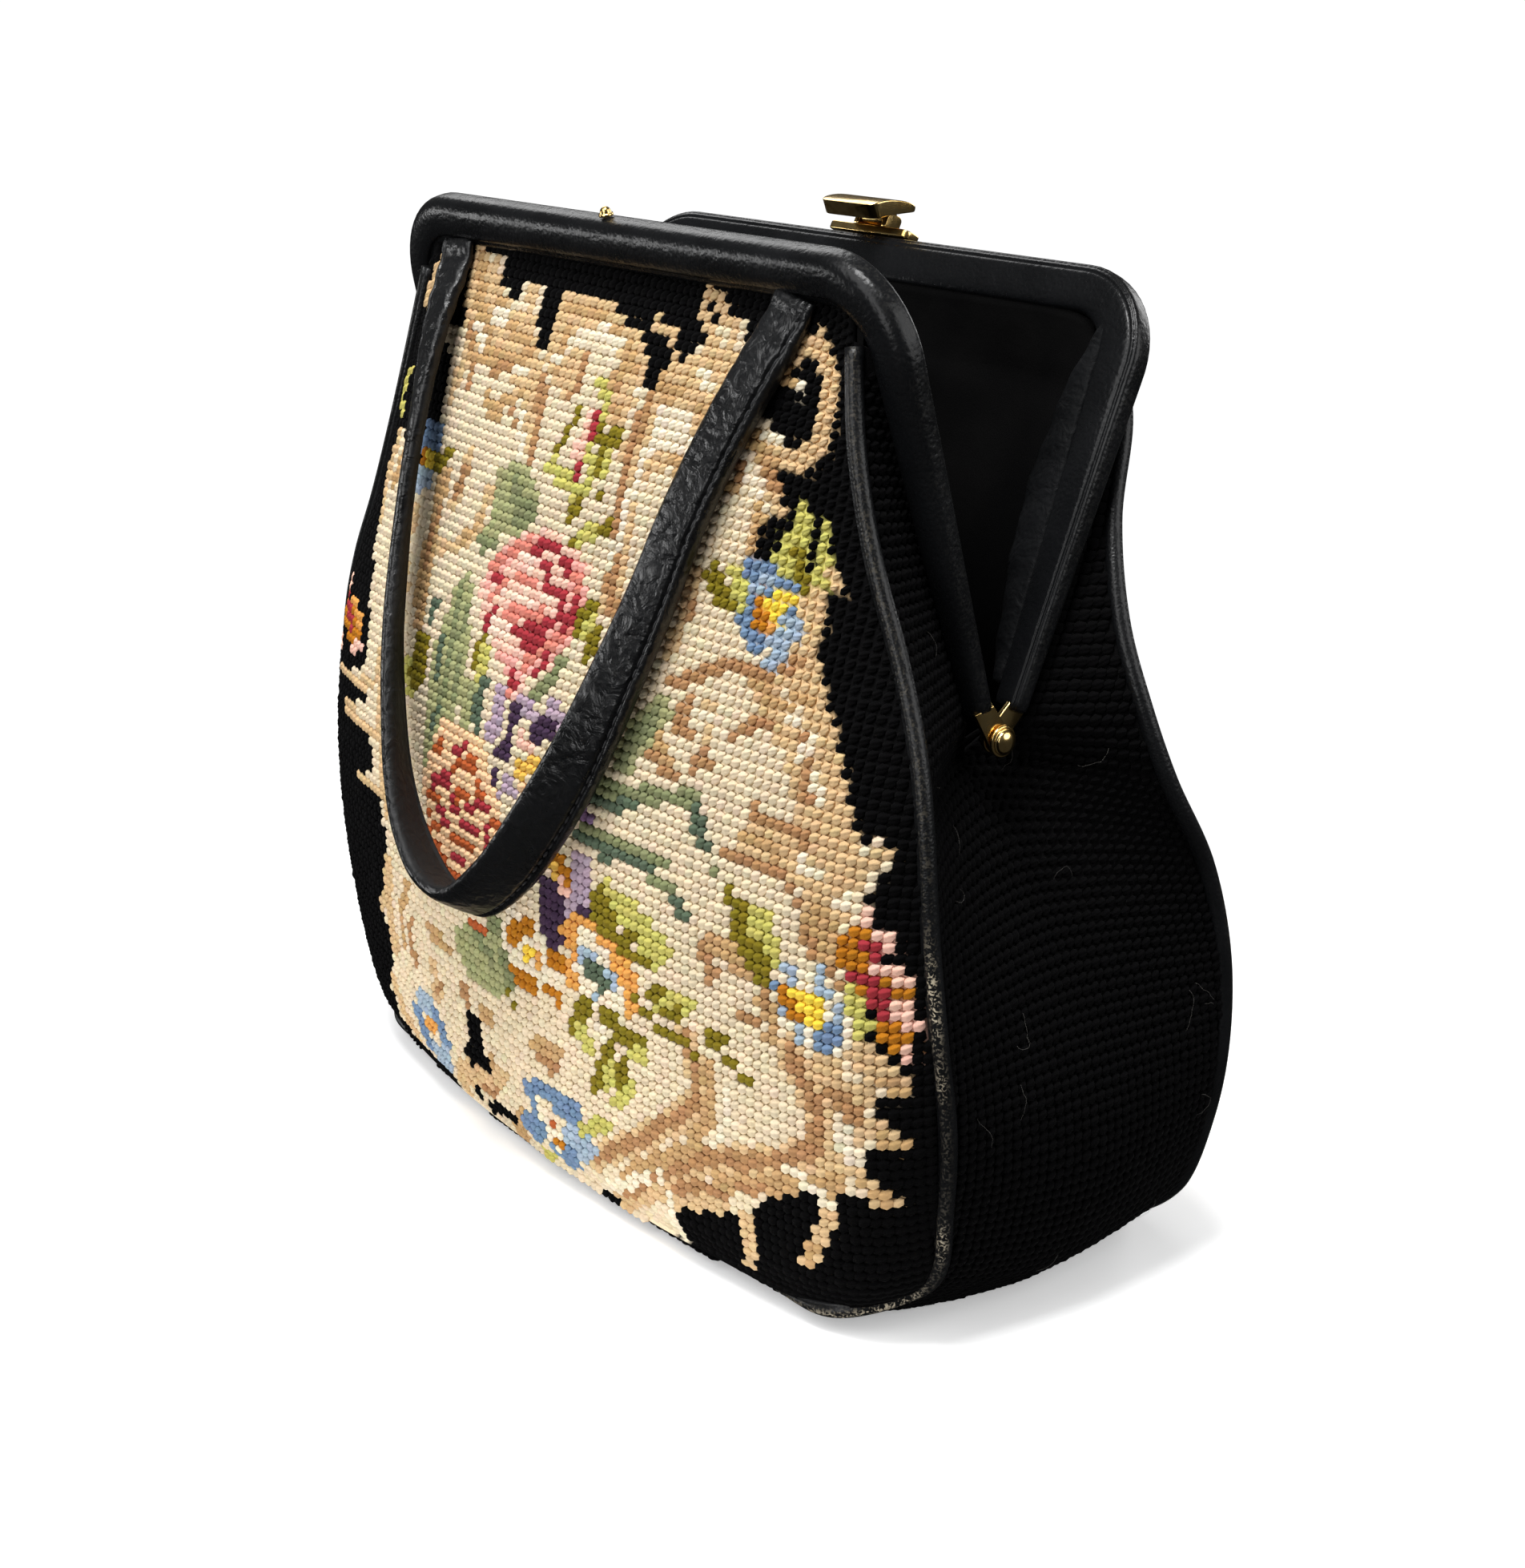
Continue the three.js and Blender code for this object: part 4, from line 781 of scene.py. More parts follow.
    # Pink and orange flower on the left edge
    ("amber", 9.0, (-112, 124), (-100, 120)),
    ("blush", 5.0, (-119, 131), (-112, 131)),
    ("blush", 4.4, (-118, 119), (-114, 114)),
    ("crimson", 4.4, (-110, 126), (-104, 122)),
    ("orange", 4.0, (-104, 128), (-97, 124)),
    ("blush", 4.0, (-101, 115), (-95, 118)),
    # Blue flowers along the base
    ("blue", 6.0, (-1, 24), (7, 28)),
    ("blue", 8.0, (12, 25), (18, 26)),
    ("sky", 9.0, (16, 17), (21, 18)),
    ("blue", 9.0, (-4, 12), (0, 15)),
    ("blue", 8.0, (8, 10), (13, 12)),
    ("white", 6.0, (3, 21), (8, 14)),
    ("rust", 2.6, (7, 19), (9, 20)),
    ("amber", 2.6, (8, 13), (9, 14)),
    ("lime", 3.4, (-3, 6), (3, 7)),
    ("lime", 4.0, (20, 22), (32, 28)),
    ("sky", 7.0, (-62, 27), (-54, 28)),
    ("blue", 7.0, (-51, 25), (-49, 20)),
    ("blue", 7.0, (-66, 21), (-62, 16)),
    ("sky", 8.0, (-56, 13), (-50, 14)),
    ("orange", 4.4, (-59, 21), (-55, 22)),
]


def smooth(points, where):
    """Smooth curve through the points, at places counted in points."""
    points = np.asarray(points, float)
    if points.ndim == 1:
        points = points[:, None]
    padded = np.vstack([2 * points[0] - points[1], points, 2 * points[-1] - points[-2]])
    where = np.atleast_1d(where)
    before = np.clip(np.floor(where).astype(int), 0, len(points) - 2)
    share = (where - before)[:, None]
    p0, p1, p2, p3 = (padded[before + k] for k in range(4))
    d1, d2, d3 = (
        np.maximum(np.linalg.norm(b - a, axis=1, keepdims=True), 1e-6) ** 0.5
        for a, b in ((p0, p1), (p1, p2), (p2, p3))
    )
    start = ((p1 - p0) / d1 - (p2 - p0) / (d1 + d2) + (p2 - p1) / d2) * d2
    end = ((p2 - p1) / d2 - (p3 - p1) / (d2 + d3) + (p3 - p2) / d3) * d2
    square = 3 * (p2 - p1) - 2 * start - end
    cube = 2 * (p1 - p2) + start + end
    return p1 + share * (start + share * (square + share * cube))


def seam(half, hand, station):
    """Places on a seam, from under the rail at station 0 to the middle of the base at the last one."""
    across, out, up = SEAM_START
    rows = [on_half(half, hand * across, out, up)]
    for width, height, front, back, setback, _ in SEAM_TABLE:
        depth = back if half == "back" else front + (setback if hand < 0 else 0)
        rows.append([hand * width, depth + HINGE_DEPTH, height])
    return smooth(rows, station)


def seam_column(name, station):
    """One of the seam's columns at places along it, 0 under the rail."""
    column = SEAM_TABLE[:, SEAM_COLUMNS.index(name)]
    return smooth(np.concatenate([[0], column]), station)[:, 0]


def panel(half, share, station):
    """Places on a panel's middle surface, at shares of its half width and stations of its seams."""
    share, station = np.broadcast_arrays(np.asarray(share, float), np.asarray(station, float))
    places = np.zeros(share.shape + (3,))
    side_sign = HALVES[half][0]
    for hand in (1, -1):
        chosen = share >= 0 if hand > 0 else share < 0
        if not chosen.any():
            continue
        part = np.abs(share[chosen])
        at = station[chosen]
        middle = 1 - part**2
        twisted = half == "front" and hand < 0
        side = seam(half, hand, at)
        corner = seam(half, hand, CORNER_STATION)[0]
        top = seam(half, hand, 0)[0]
        base = seam(half, hand, np.linspace(LAST_STATION, CORNER_STATION, 200))
        base_depth = np.interp(part * abs(corner[0]), np.abs(base[:, 0]), base[:, 1])
        base_height = np.interp(part * abs(corner[0]), np.abs(base[:, 0]), base[:, 2])
        setback = seam_column("setback", at) if twisted else 0.0
        corner_setback = seam_column("setback", CORNER_STATION)[0] if twisted else 0.0
        rise = (side[:, 2] - corner[2]) / (top[2] - corner[2])
        bar = on_half(half, 0.0, PANEL_SEAT, ARM_LENGTH - RAIL_WIDTH + 0.5)
        edge = bar + (top - bar) * (part**14)[:, None]
        swell = side_sign * seam_column("bulge", at) * middle**0.75
        depth = side[:, 1] - setback * middle + swell + rise * (edge[:, 1] - top[1])
        depth += (1 - rise) * (base_depth - corner[1] + corner_setback * middle)
        height = side[:, 2] + (1 - rise) * (base_height - corner[2]) + rise * (edge[:, 2] - top[2])
        places[chosen] = np.stack([part * side[:, 0], depth, height], 1)
    return places


def unit(vectors):
    return vectors / np.linalg.norm(vectors, axis=1, keepdims=True)


def length_along(line):
    """Distance from the start of a line to each of its points."""
    return np.concatenate([[0], np.cumsum(np.linalg.norm(np.diff(line, axis=0), axis=1))])


def grid_faces(rows, columns):
    number = np.arange(rows * columns).reshape(rows, columns)
    return np.stack([number[:-1, :-1], number[1:, :-1], number[1:, 1:], number[:-1, 1:]], -1).reshape(-1, 4)


def normals_of(points, quads):
    a, b, c, d = (points[quads[:, k]] for k in range(4))
    across = np.cross(c - a, d - b)
    total = np.zeros_like(points)
    for corner in range(4):
        np.add.at(total, quads[:, corner], across)
    return total / np.maximum(np.linalg.norm(total, axis=1, keepdims=True), 1e-9)


def wall(points, quads, outer, inner):
    """Closed sheet of cloth about a surface, from one distance along its normals to another."""
    normals = normals_of(points, quads)
    count = len(points)
    edges = np.concatenate([quads[:, [k, (k + 1) % 4]] for k in range(4)])
    _, place, uses = np.unique(np.sort(edges, axis=1), axis=0, return_index=True, return_counts=True)
    rim = edges[place[uses == 1]]
    sides = np.stack([rim[:, 1], rim[:, 0], rim[:, 0] + count, rim[:, 1] + count], -1)
    skin = np.vstack([points + normals * outer, points + normals * inner])
    return skin, [np.vstack([quads, quads[:, ::-1] + count, sides])]


def in_outline(x, z, outline):
    """Which places lie inside a closed outline."""
    inside = np.zeros(x.shape, bool)
    for (ax, az), (bx, bz) in zip(outline, [*outline[1:], outline[0]]):
        if az != bz:
            crossing = (az > z) != (bz > z)
            inside ^= crossing & (x < ax + (bx - ax) * (z - az) / (bz - az))
    return inside


def near_line(x, z, line, width):
    """Which places lie on a line of a width."""
    near = np.zeros(x.shape, bool)
    for (ax, az), (bx, bz) in zip(line[:-1], line[1:]):
        along = ((x - ax) * (bx - ax) + (z - az) * (bz - az)) / ((bx - ax) ** 2 + (bz - az) ** 2)
        along = np.clip(along, 0, 1)
        near |= np.hypot(x - ax - along * (bx - ax), z - az - along * (bz - az)) < 0.5 * width
    return near


def worked(x, z):
    """Colour of the wool at places of the pattern."""
    colours = np.tile(np.array(WOOLS["black"]), (len(x), 1))
    for wool, width, *places in PATTERN:
        shape = near_line(x, z, places, width) if width else in_outline(x, z, places)
        colours[shape] = WOOLS[wool]
    return colours


def add_stitches(name, at, across, up, wool, tall, finish, seed):
    """Plump tent stitches over the canvas crossings, leaning up to the right, as one mesh."""
    chance = np.random.default_rng(seed)
    count = len(at)
    across = unit(across)
    up = unit(up)
    out = np.cross(across, up)
    lean = (STITCH_LEAN + chance.normal(0, 0.07, count))[:, None]
    along = across * np.cos(lean) + up * np.sin(lean)
    beside = np.cross(out, along)
    at = at + across * chance.normal(0, STITCH_DRIFT, (count, 1))
    at = at + up * chance.normal(0, STITCH_DRIFT, (count, 1))
    length = STITCH_HALF_LENGTH * (1 + chance.normal(0, 0.05, (count, 1)))
    width = STITCH_HALF_WIDTH * (1 + chance.normal(0, 0.06, (count, 1)))
    tall = np.reshape(tall, (-1, 1)) * (1 + chance.normal(0, 0.09, (count, 1)))
    turn = np.arange(STITCH_SIDES) / STITCH_SIDES * 2 * np.pi
    rows = []
    for size, level in ((1.0, 0.05), (0.78, 0.72)):
        for angle in turn:
            ring = along * length * size * np.cos(angle) + beside * width * size * np.sin(angle)
            rows.append(at + ring + out * (tall * level))
    rows.append(at + out * tall)
    points = np.stack(rows, 1).reshape(-1, 3)
    ring = np.arange(STITCH_SIDES)
    after = np.roll(ring, -1)
    upper = ring + STITCH_SIDES
    upper_after = after + STITCH_SIDES
    peak = 2 * STITCH_SIDES
    sides = [np.stack([ring, after, upper_after], -1), np.stack([ring, upper_after, upper], -1)]
    crown = np.stack([upper, upper_after, np.full(STITCH_SIDES, peak)], -1)
    foot = np.array([[0, k + 1, k] for k in range(1, STITCH_SIDES - 1)])
    one = np.vstack([*sides, crown, foot])
    faces = (one[None] + (peak + 1) * np.arange(count)[:, None, None]).reshape(-1, 3)
    stitches = add_piece(name, points, [faces], finish)
    shade = 1 + chance.normal(0, 0.042, (count, 1))
    colour = np.clip(wool * shade * (1 + chance.normal(0, 0.018, (count, 3))), 0, 1)
    colour = np.hstack([colour, np.ones((count, 1))])
    add_values(stitches, "wool", np.repeat(colour, peak + 1, axis=0))
    lay = []
    for size, level in ((1, 0), (0.76, 0.75)):
        lay += [(size * np.cos(angle), size * np.sin(angle), level) for angle in turn]
    lay = np.array([*lay, (0, 0, 1)])
    add_values(stitches, "lay", np.tile(lay, (count, 1)))
    side = math.ceil(math.sqrt(count))
    flat = BAKE_CENTRE + lay[:, :2] * (0.33, 0.44)
    flat_of = flat[one]
    flat_of[-len(foot):] = (flat[foot] - BAKE_CENTRE) * 0.3 + (0.86, 0.5)
    cell = np.stack([np.arange(count) % side, np.arange(count) // side], -1)
    places = (flat_of.reshape(1, -1, 2) + cell[:, None]) / side
    stitches.data.uv_layers.new(name="OFBake").uv.foreach_set("vector", places.astype(np.float32).ravel())
    return stitches


def wool_finish(name, sheen):
    """Wool: the colour of each stitch, with twisted plies and fine hairs; painted shade darkens its crown and
    the grooves between plies, and painted light keeps its foot lighter, to soften the shading between
    stitches.
    """
    finish, shader, place = new_finish(name, Sheen_Weight=sheen, Sheen_Roughness=0.5, Specular_IOR_Level=0.05)
    lay = place.attribute("lay", "Vector")
    split = lay.node("ShaderNodeSeparateXYZ", {}, {"Vector": lay})
    across = Tone(split.tree, split.socket.node.outputs[1])
    level = Tone(split.tree, split.socket.node.outputs[2])
    twist = 6.5 * across + 3.4 * split
    plies = twist.math("SINE", twist)
    hairs = place.noise(3200.0, 2.0)
    clouds = place.noise(60.0)
    # Painted shade and light: darker on the crown and in the ply grooves, lighter at the foot than the wool's
    # own colour.
    light = 0.95 - 0.18 * level + 0.05 * plies + 0.16 * hairs + 0.08 * clouds
    feed(
        shader,
        Base_Color=place.attribute("wool", "Color").scaled(light),
        Roughness=0.86 + 0.14 * hairs,
        Normal=bumped(0.6 * plies + 1.1 * hairs, 0.16, 0.8),
    )
    return finish


def canvas_finish(name):
    """Backing canvas, which shows between the stitches in the colour of the wool over it, mostly made lighter
    than that wool as painted light that fills the shade in the gaps.
    """
    finish, shader, place = new_finish(name, Specular_IOR_Level=0.1)
    threads = place.noise(1500.0)
    # Painted light: the canvas in the gaps is mostly lighter than the wool over it, filling the shade between
    # stitches.
    feed(
        shader,
        Base_Color=place.attribute("wool", "Color").scaled(0.95 + 0.35 * threads),
        Roughness=0.9 + 0.1 * threads,
        Normal=bumped(threads, 0.2),
    )
    return finish


def half_width(station):
    return seam("back", 1, station)[:, 0]


panel_wool = wool_finish("panel_wool", 0.008)
panel_canvas = canvas_finish("panel_canvas")
for half, seed in (("front", 11), ("back", 12)):
    view = 1 if half == "front" else -1
    share = np.linspace(-0.99, 0.99, CANVAS_COLUMNS)
    shares, stations = np.meshgrid(share, np.linspace(-0.1, 10.96, CANVAS_ROWS))
    points = panel(half, shares.ravel(), stations.ravel())
    quads = grid_faces(CANVAS_ROWS, CANVAS_COLUMNS)[:, ::view]
    canvas = add_piece(f"{half}_canvas", *wall(points, quads, CANVAS_OUTER, CANVAS_INNER), panel_canvas)
    colour = worked(view * points[:, 0], points[:, 2])
    behind = np.tile(np.array(WOOLS["black"]), (len(colour), 1))
    colour = np.vstack([colour, behind])
    add_values(canvas, "wool", np.hstack([colour, np.ones((len(colour), 1))]))
    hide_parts(f"{half}_panel")

    fine = np.linspace(-0.08, 10.98, 600)
    run = length_along(panel(half, 0.3, fine))
    crossings = []
    for row in np.arange(-4, 110) * PITCH:
        for hand in (1, -1):
            dense = hand * np.linspace(0, 1, 140)
            down = row + SKEW * view * dense * half_width(np.interp(row, run, fine))
            thread = panel(half, dense, np.interp(down, run, fine))
            reach = length_along(thread)
            column = np.arange(0 if hand > 0 else PITCH, reach[-1] - 1.6, PITCH)
            down = np.interp(column, reach, down)
            kept = (down > 0.5) & (down < run[-1] - 0.6)
            share = hand * np.interp(column, reach, np.abs(dense))
            crossings.append(np.stack([share, np.interp(down, run, fine)], 1)[kept])
    share, station = np.vstack(crossings).T
    share = np.clip(share, -0.994, 0.994)
    at = panel(half, share, station)
    across = view * (panel(half, share + 0.004, station) - panel(half, share - 0.004, station))
    up = panel(half, share, station - 0.02) - panel(half, share, station + 0.02)
    at = at + CANVAS_OUTER * unit(np.cross(across, up))
    wool = worked(view * at[:, 0], at[:, 2])
    tall = np.full(len(at), PANEL_STITCH_HEIGHT)
    stitches = add_stitches(f"{half}_stitches", at, across, up, wool, tall, panel_wool, seed)


# Gusset: one long strip of canvas worked in plain black wool, sewn between the panels from one arm of
# the frame under the base to the other. It is split above the hinge and sinks in below it.
GUSSET_MIDDLE = np.array([
    [92.5, 127], [107, 103], [120.5, 79], [128, 56], [128.5, 35],
    [122, 14.5], [111.5, 4], [100, -4], [60, -4], [0, -4],
])
HINGE_STATION = 5
STRIP_TUCK = 0.5
STRIP_SEAT = 0.8
BASE_LIFT = 1.45
FIBRE_RADIUS = 0.026
FIBRE_POINTS = 9
FIBRE_COUNT = 44
GUSSET_STITCH_HEIGHT = 1.15


def eased(share):
    """Smooth step from 0 to 1."""
    share = np.clip(share, 0, 1)
    return share * share * (3 - 2 * share)


def gusset(half, hand, station, share):
    """Places on the gusset's middle surface, from a seam at share 0 to an arm or its centre line at 1."""
    station, share = np.broadcast_arrays(np.asarray(station, float), np.asarray(share, float))
    edge = seam(half, hand, station)
    lower = np.maximum(station, HINGE_STATION)
    middle = smooth(GUSSET_MIDDLE, lower - HINGE_STATION)
    depth = 0.5 * (seam("front", hand, lower)[:, 1] + seam("back", hand, lower)[:, 1])
    centre = np.stack([hand * middle[:, 0], depth, middle[:, 1]], -1)
    tilt = HALVES[half][1]
    up = np.maximum((edge[:, 2] - HINGE_HEIGHT) / np.cos(tilt), 0.5 * ARM_END_HEIGHT)
    outer, width, deep = rail_at(up)
    arm = on_half(half, hand * (outer - width + STRIP_TUCK), STRIP_SEAT * deep, up)
    closed = eased(station - (HINGE_STATION - 1))[:, None]
    end = arm + (centre - arm) * closed
    sag = 1 - (1 - share) ** (1 + 0.5 * closed[:, 0])
    places = edge + (end - edge) * sag[:, None]
    places[:, 1] = edge[:, 1] + (end[:, 1] - edge[:, 1]) * share
    places[:, 2] = np.maximum(places[:, 2], BASE_LIFT)
    return places


def gusset_sheet(first, seam_share, steps):
    """Points and faces of the gusset, split in two strips above the hinge."""
    stations = np.concatenate([
        np.linspace(first, HINGE_STATION, 24), np.linspace(HINGE_STATION, LAST_STATION, 60)[1:]
    ])
    shares = np.linspace(seam_share, 1, steps)
    rows = []
    points = []
    count = 0
    for hand, order in ((1, stations), (-1, stations[-2::-1])):
        for station in order:
            strips = {half: gusset(half, hand, station, shares) for half in HALVES}
            meet = station >= HINGE_STATION
            front = np.arange(count, count + steps)
            points.append(strips["front"])
            count += steps
            back = strips["back"][::-1]
            if meet:
                numbers = np.concatenate([front[-1:], np.arange(count, count + steps - 1)])
                points.append(back[1:])
            else:
                numbers = np.arange(count, count + steps)
                points.append(back)
            count += steps - meet
            rows.append((front, numbers))
    quads = []
    for above, below in zip(rows[:-1], rows[1:]):
        for strip in (0, 1):
            a = above[strip]
            b = below[strip]
            quads.append(np.stack([a[:-1], b[:-1], b[1:], a[1:]], -1))
    return np.vstack(points), np.vstack(quads)


def joined(parts):
    """Several lofted skins as the points and faces of one mesh."""
    points = []
    quads = []
    fans = []
    count = 0
    for part, (first, second) in parts:
        points.append(part)
        quads.append(first + count)
        fans.append(second + count)
        count += len(part)
    return np.vstack(points), [np.vstack(quads), np.vstack(fans)]


def add_fibres(name, at, across, out, count, finish, seed):
    """Loose grey fibres caught on the wool, each a thin bent thread that lies close to it."""
    chance = np.random.default_rng(seed)
    share = np.linspace(0, 1, FIBRE_POINTS)
    turn = np.arange(4) / 4 * 2 * np.pi
    fibres = []
    for k in chance.choice(len(at), count, replace=False):
        first = across[k] / np.linalg.norm(across[k])
        second = np.cross(out[k], first)
        start = chance.uniform(0, 2 * np.pi)
        curl = chance.normal(0, 1.7)
        angle = start + curl * share + chance.normal(0, 0.3, FIBRE_POINTS)
        step = chance.uniform(0.4, 1.3)
        heading = np.cos(angle)[:, None] * first + np.sin(angle)[:, None] * second
        rise = 1.0 + chance.uniform(0.3, 1.4) * np.sin(np.pi * share)
        line = at[k] + np.cumsum(heading, axis=0) * step + out[k] * rise[:, None]
        beside = np.cross(out[k], heading)
        ring = np.cos(turn)[:, None] * beside[:, None] + np.sin(turn)[:, None] * out[k]
        fibres.append(loft(line[:, None] + FIBRE_RADIUS * ring))
    fibres = add_piece(name, *joined(fibres), finish)
    return fibres


fibre_finish, fibre_shader, fibre_place = new_finish("loose_fibre", Specular_IOR_Level=0.2)
speck = fibre_place.noise(300.0)
feed(
    fibre_shader,
    Base_Color=speck.mixed((0.04, 0.038, 0.035, 1), (0.15, 0.142, 0.13, 1)),
    Roughness=0.6 + 0.3 * speck,
    Normal=bumped(speck, 0.02),
)
gusset_wool = wool_finish("gusset_wool", 0.006)
gusset_canvas = canvas_finish("gusset_canvas")
points, quads = gusset_sheet(0.1, 0.02, 17)
backing = add_piece("gusset_canvas", *wall(points, quads, CANVAS_OUTER, CANVAS_INNER), gusset_canvas)
add_values(backing, "wool", np.tile([*WOOLS["black"], 1.0], (2 * len(points), 1)))
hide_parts("gusset")

fine = np.linspace(0.3, LAST_STATION, 700)
run = length_along(gusset("front", 1, fine, 0.45))
places = []
for hand in (1, -1):
    for half in HALVES:
        toward_back = hand * (1 if half == "front" else -1)
        for down in np.arange(run[-1] - 0.5 * PITCH, 0, -PITCH):
            station = float(np.interp(down, run, fine))
            dense = np.linspace(0, 1, 60)
            reach = length_along(gusset(half, hand, station, dense)[::-1])
            column = np.arange(0.5 * PITCH, reach[-1] - 1.7, PITCH)
            share = np.interp(column, reach, dense[::-1])
            at = gusset(half, hand, station, share)
            inner = gusset(half, hand, station, np.minimum(share + 0.02, 1))
            across = toward_back * (inner - gusset(half, hand, station, share - 0.02))
            lower = gusset(half, hand, min(station + 0.05, LAST_STATION), share)
            up = gusset(half, hand, station - 0.05, share) - lower
            places.append(np.stack([at, across, up], 1))
places = np.vstack(places)
at, across, up = (places[:, k] for k in range(3))
out = unit(np.cross(across, up))
on_base = np.clip(-out[:, 2], 0, 1)
at = at + CANVAS_OUTER * out
tall = GUSSET_STITCH_HEIGHT - 0.2 * on_base
wool = np.tile(np.array(WOOLS["black"]), (len(at), 1))
gusset_stitches = add_stitches("gusset_stitches", at, across, up, wool, tall, gusset_wool, 13)
upright = np.abs(out[:, 2]) < 0.5
fibre_places = (at[upright], across[upright], out[upright])
fibres = add_fibres("gusset_fibres", *fibre_places, FIBRE_COUNT, fibre_finish, 14)


# Piping: a cord covered in black leather, sewn into each seam between panel and gusset. It tucks under
# along the base, and at the front right it has rubbed through in places to pale hide.
PIPING_RADIUS = 2.1
PIPING_SIDES = 28
TUCK_STATION = 12.0
TUCK_RUN = 0.6
TUCK_THINNING = 0.45
TUCK_DEPTH = 2.4
# Rubbed places by height: height, spread and strength
RUBBED = ((88, 8, 0.65), (70, 4, 0.3), (30, 4, 0.4), (9, 6, 0.35))


def piping_rings(half):
    """Rings along a whole seam, with the groove that the sewing leaves beside the ridge."""
    station = np.concatenate([np.linspace(0.15, 8.5, 90), np.linspace(8.5, LAST_STATION, 110)[1:]])
    right = seam(half, 1, station)
    left = seam(half, -1, station[:-1])[::-1]
    line = np.vstack([right, left])
    tangent = unit(np.gradient(line, axis=0))
    across = unit(np.cross(tangent, [0.0, 1.0, 0.0]))
    along = np.cross(across, tangent)
    angle = ring_angles(PIPING_SIDES)
    side = HALVES[half][0]
    slope = np.arctan2(side * np.sin(angle), -np.cos(angle))
    groove = 0.42 * ridge(slope, 1.3, 0.2) + 0.25 * ridge(slope, -0.2, 0.25)
    under = eased((np.append(station, station[-2::-1]) - TUCK_STATION) / TUCK_RUN)[:, None]
    radius = (PIPING_RADIUS - groove) * (1 - TUCK_THINNING * under)
    middle = line - under * (0, side * TUCK_DEPTH, 0)
    rings = middle[:, None] + across[:, None] * (radius * np.cos(angle))[..., None]
    return rings + along[:, None] * (radius * np.sin(angle))[..., None], line


piping_leather = leather("piping_leather", 0.6, 0.7, 0.18, 0.26, 0.26, (0.5, 0.43, 0.31, 1))
for half in HALVES:
    rings, line = piping_rings(half)
    piping = add_piece(f"{half}_piping_cord", *loft(rings), piping_leather)
    right = line[:, 0] > 0
    worn = 0.04 + sum(strength * ridge(line[:, 2], height, spread) for height, spread, strength in RUBBED)
    worn = (worn if half == "front" else 0.15 * worn) * np.where(right, 1.0, 0.3)
    angle = ring_angles(PIPING_SIDES)
    slope = np.arctan2(HALVES[half][0] * np.sin(angle), -np.cos(angle))
    worn = np.clip(1.7 * worn[:, None] * ridge(slope, 2.2, 0.6), 0, 1)
    add_values(piping, "wear", np.append(worn.ravel(), [0, 0]))
    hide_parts(f"{half}_piping")


# Lining: soft black cloth behind both panels and the gusset, turned in under the rails, with the slack
# folds that a lining takes when the bag stands open.
LINING_HALF_THICKNESS = 0.35
LINING_ROWS = 80
LINING_COLUMNS = 91
LINING_END = 10.6
GUSSET_LINING_DEPTH = 3.3


def lining_finish():
    finish, shader, place = new_finish("lining_cloth", Specular_IOR_Level=0.05)
    nap = place.noise(420.0, 5.0, 0.4)
    weave = place.noise(2600.0, 1.0)
    clouds = place.noise(26.0, 3.0)
    dark = clouds.between(0.35, 0.7).mixed((0.001, 0.001, 0.0011, 1), (0.003, 0.0029, 0.0029, 1))
    feed(
        shader,
        Base_Color=dark.scaled(0.8 + 0.4 * nap),
        Roughness=0.75 + 0.2 * nap,
        Normal=bumped(0.7 * nap + 0.4 * weave, 0.25, 0.6),
    )
    return finish


lining_cloth = lining_finish()
for half in HALVES:
    view = 1 if half == "front" else -1
    station = np.linspace(-0.08, LINING_END, LINING_ROWS)
    shares, stations = np.meshgrid(np.linspace(-0.955, 0.955, LINING_COLUMNS), station)
    share = shares.ravel()
    station = stations.ravel()
    points = panel(half, share, station)
    quads = grid_faces(LINING_ROWS, LINING_COLUMNS)[:, ::view]
    fade = np.clip(station / 1.2, 0, 1) * np.clip((LINING_END - station) / 2, 0, 1) * (1 - share**2)
    fold = 1.6 * np.sin(5.2 * share + 0.9 * station) + 1.1 * np.sin(9.5 * share - 1.7 * station + 1.0)
    fold += 2.4 * ridge(station, 1.0 + 0.5 * share, 0.35)
    inward = (-1.6 - 2.5 * np.clip(station / 0.7, 0, 1) - fade * (1.6 + fold * 0.6))[:, None]
    skin = wall(points, quads, inward + LINING_HALF_THICKNESS, inward - LINING_HALF_THICKNESS)
    lining = add_piece(f"{half}_lining_cloth", *skin, lining_cloth)
    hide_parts(f"{half}_lining")
points, quads = gusset_sheet(1.2, 0.06, 15)
_, depth, height = points.T
folds = np.sin(0.16 * height + 0.05 * depth) + 0.6 * np.sin(0.23 * depth - 0.1 * height)
inward = -(GUSSET_LINING_DEPTH + 0.35 * folds)[:, None]
skin = wall(points, quads, inward + LINING_HALF_THICKNESS, inward - LINING_HALF_THICKNESS)
lining = add_piece("gusset_lining_cloth", *skin, lining_cloth)
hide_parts("gusset_lining")


# Facings: a narrow strip of crinkled leather down the inside of each arm, where the lining is sewn to
# the frame. It is widest near the bend and runs out at the hinge.
FACING_FOOT = 12.0
FACING_TOP = 99.4
FACING_ROWS = 66
FACING_COLUMNS = 9
FACING_HALF_THICKNESS = 0.4

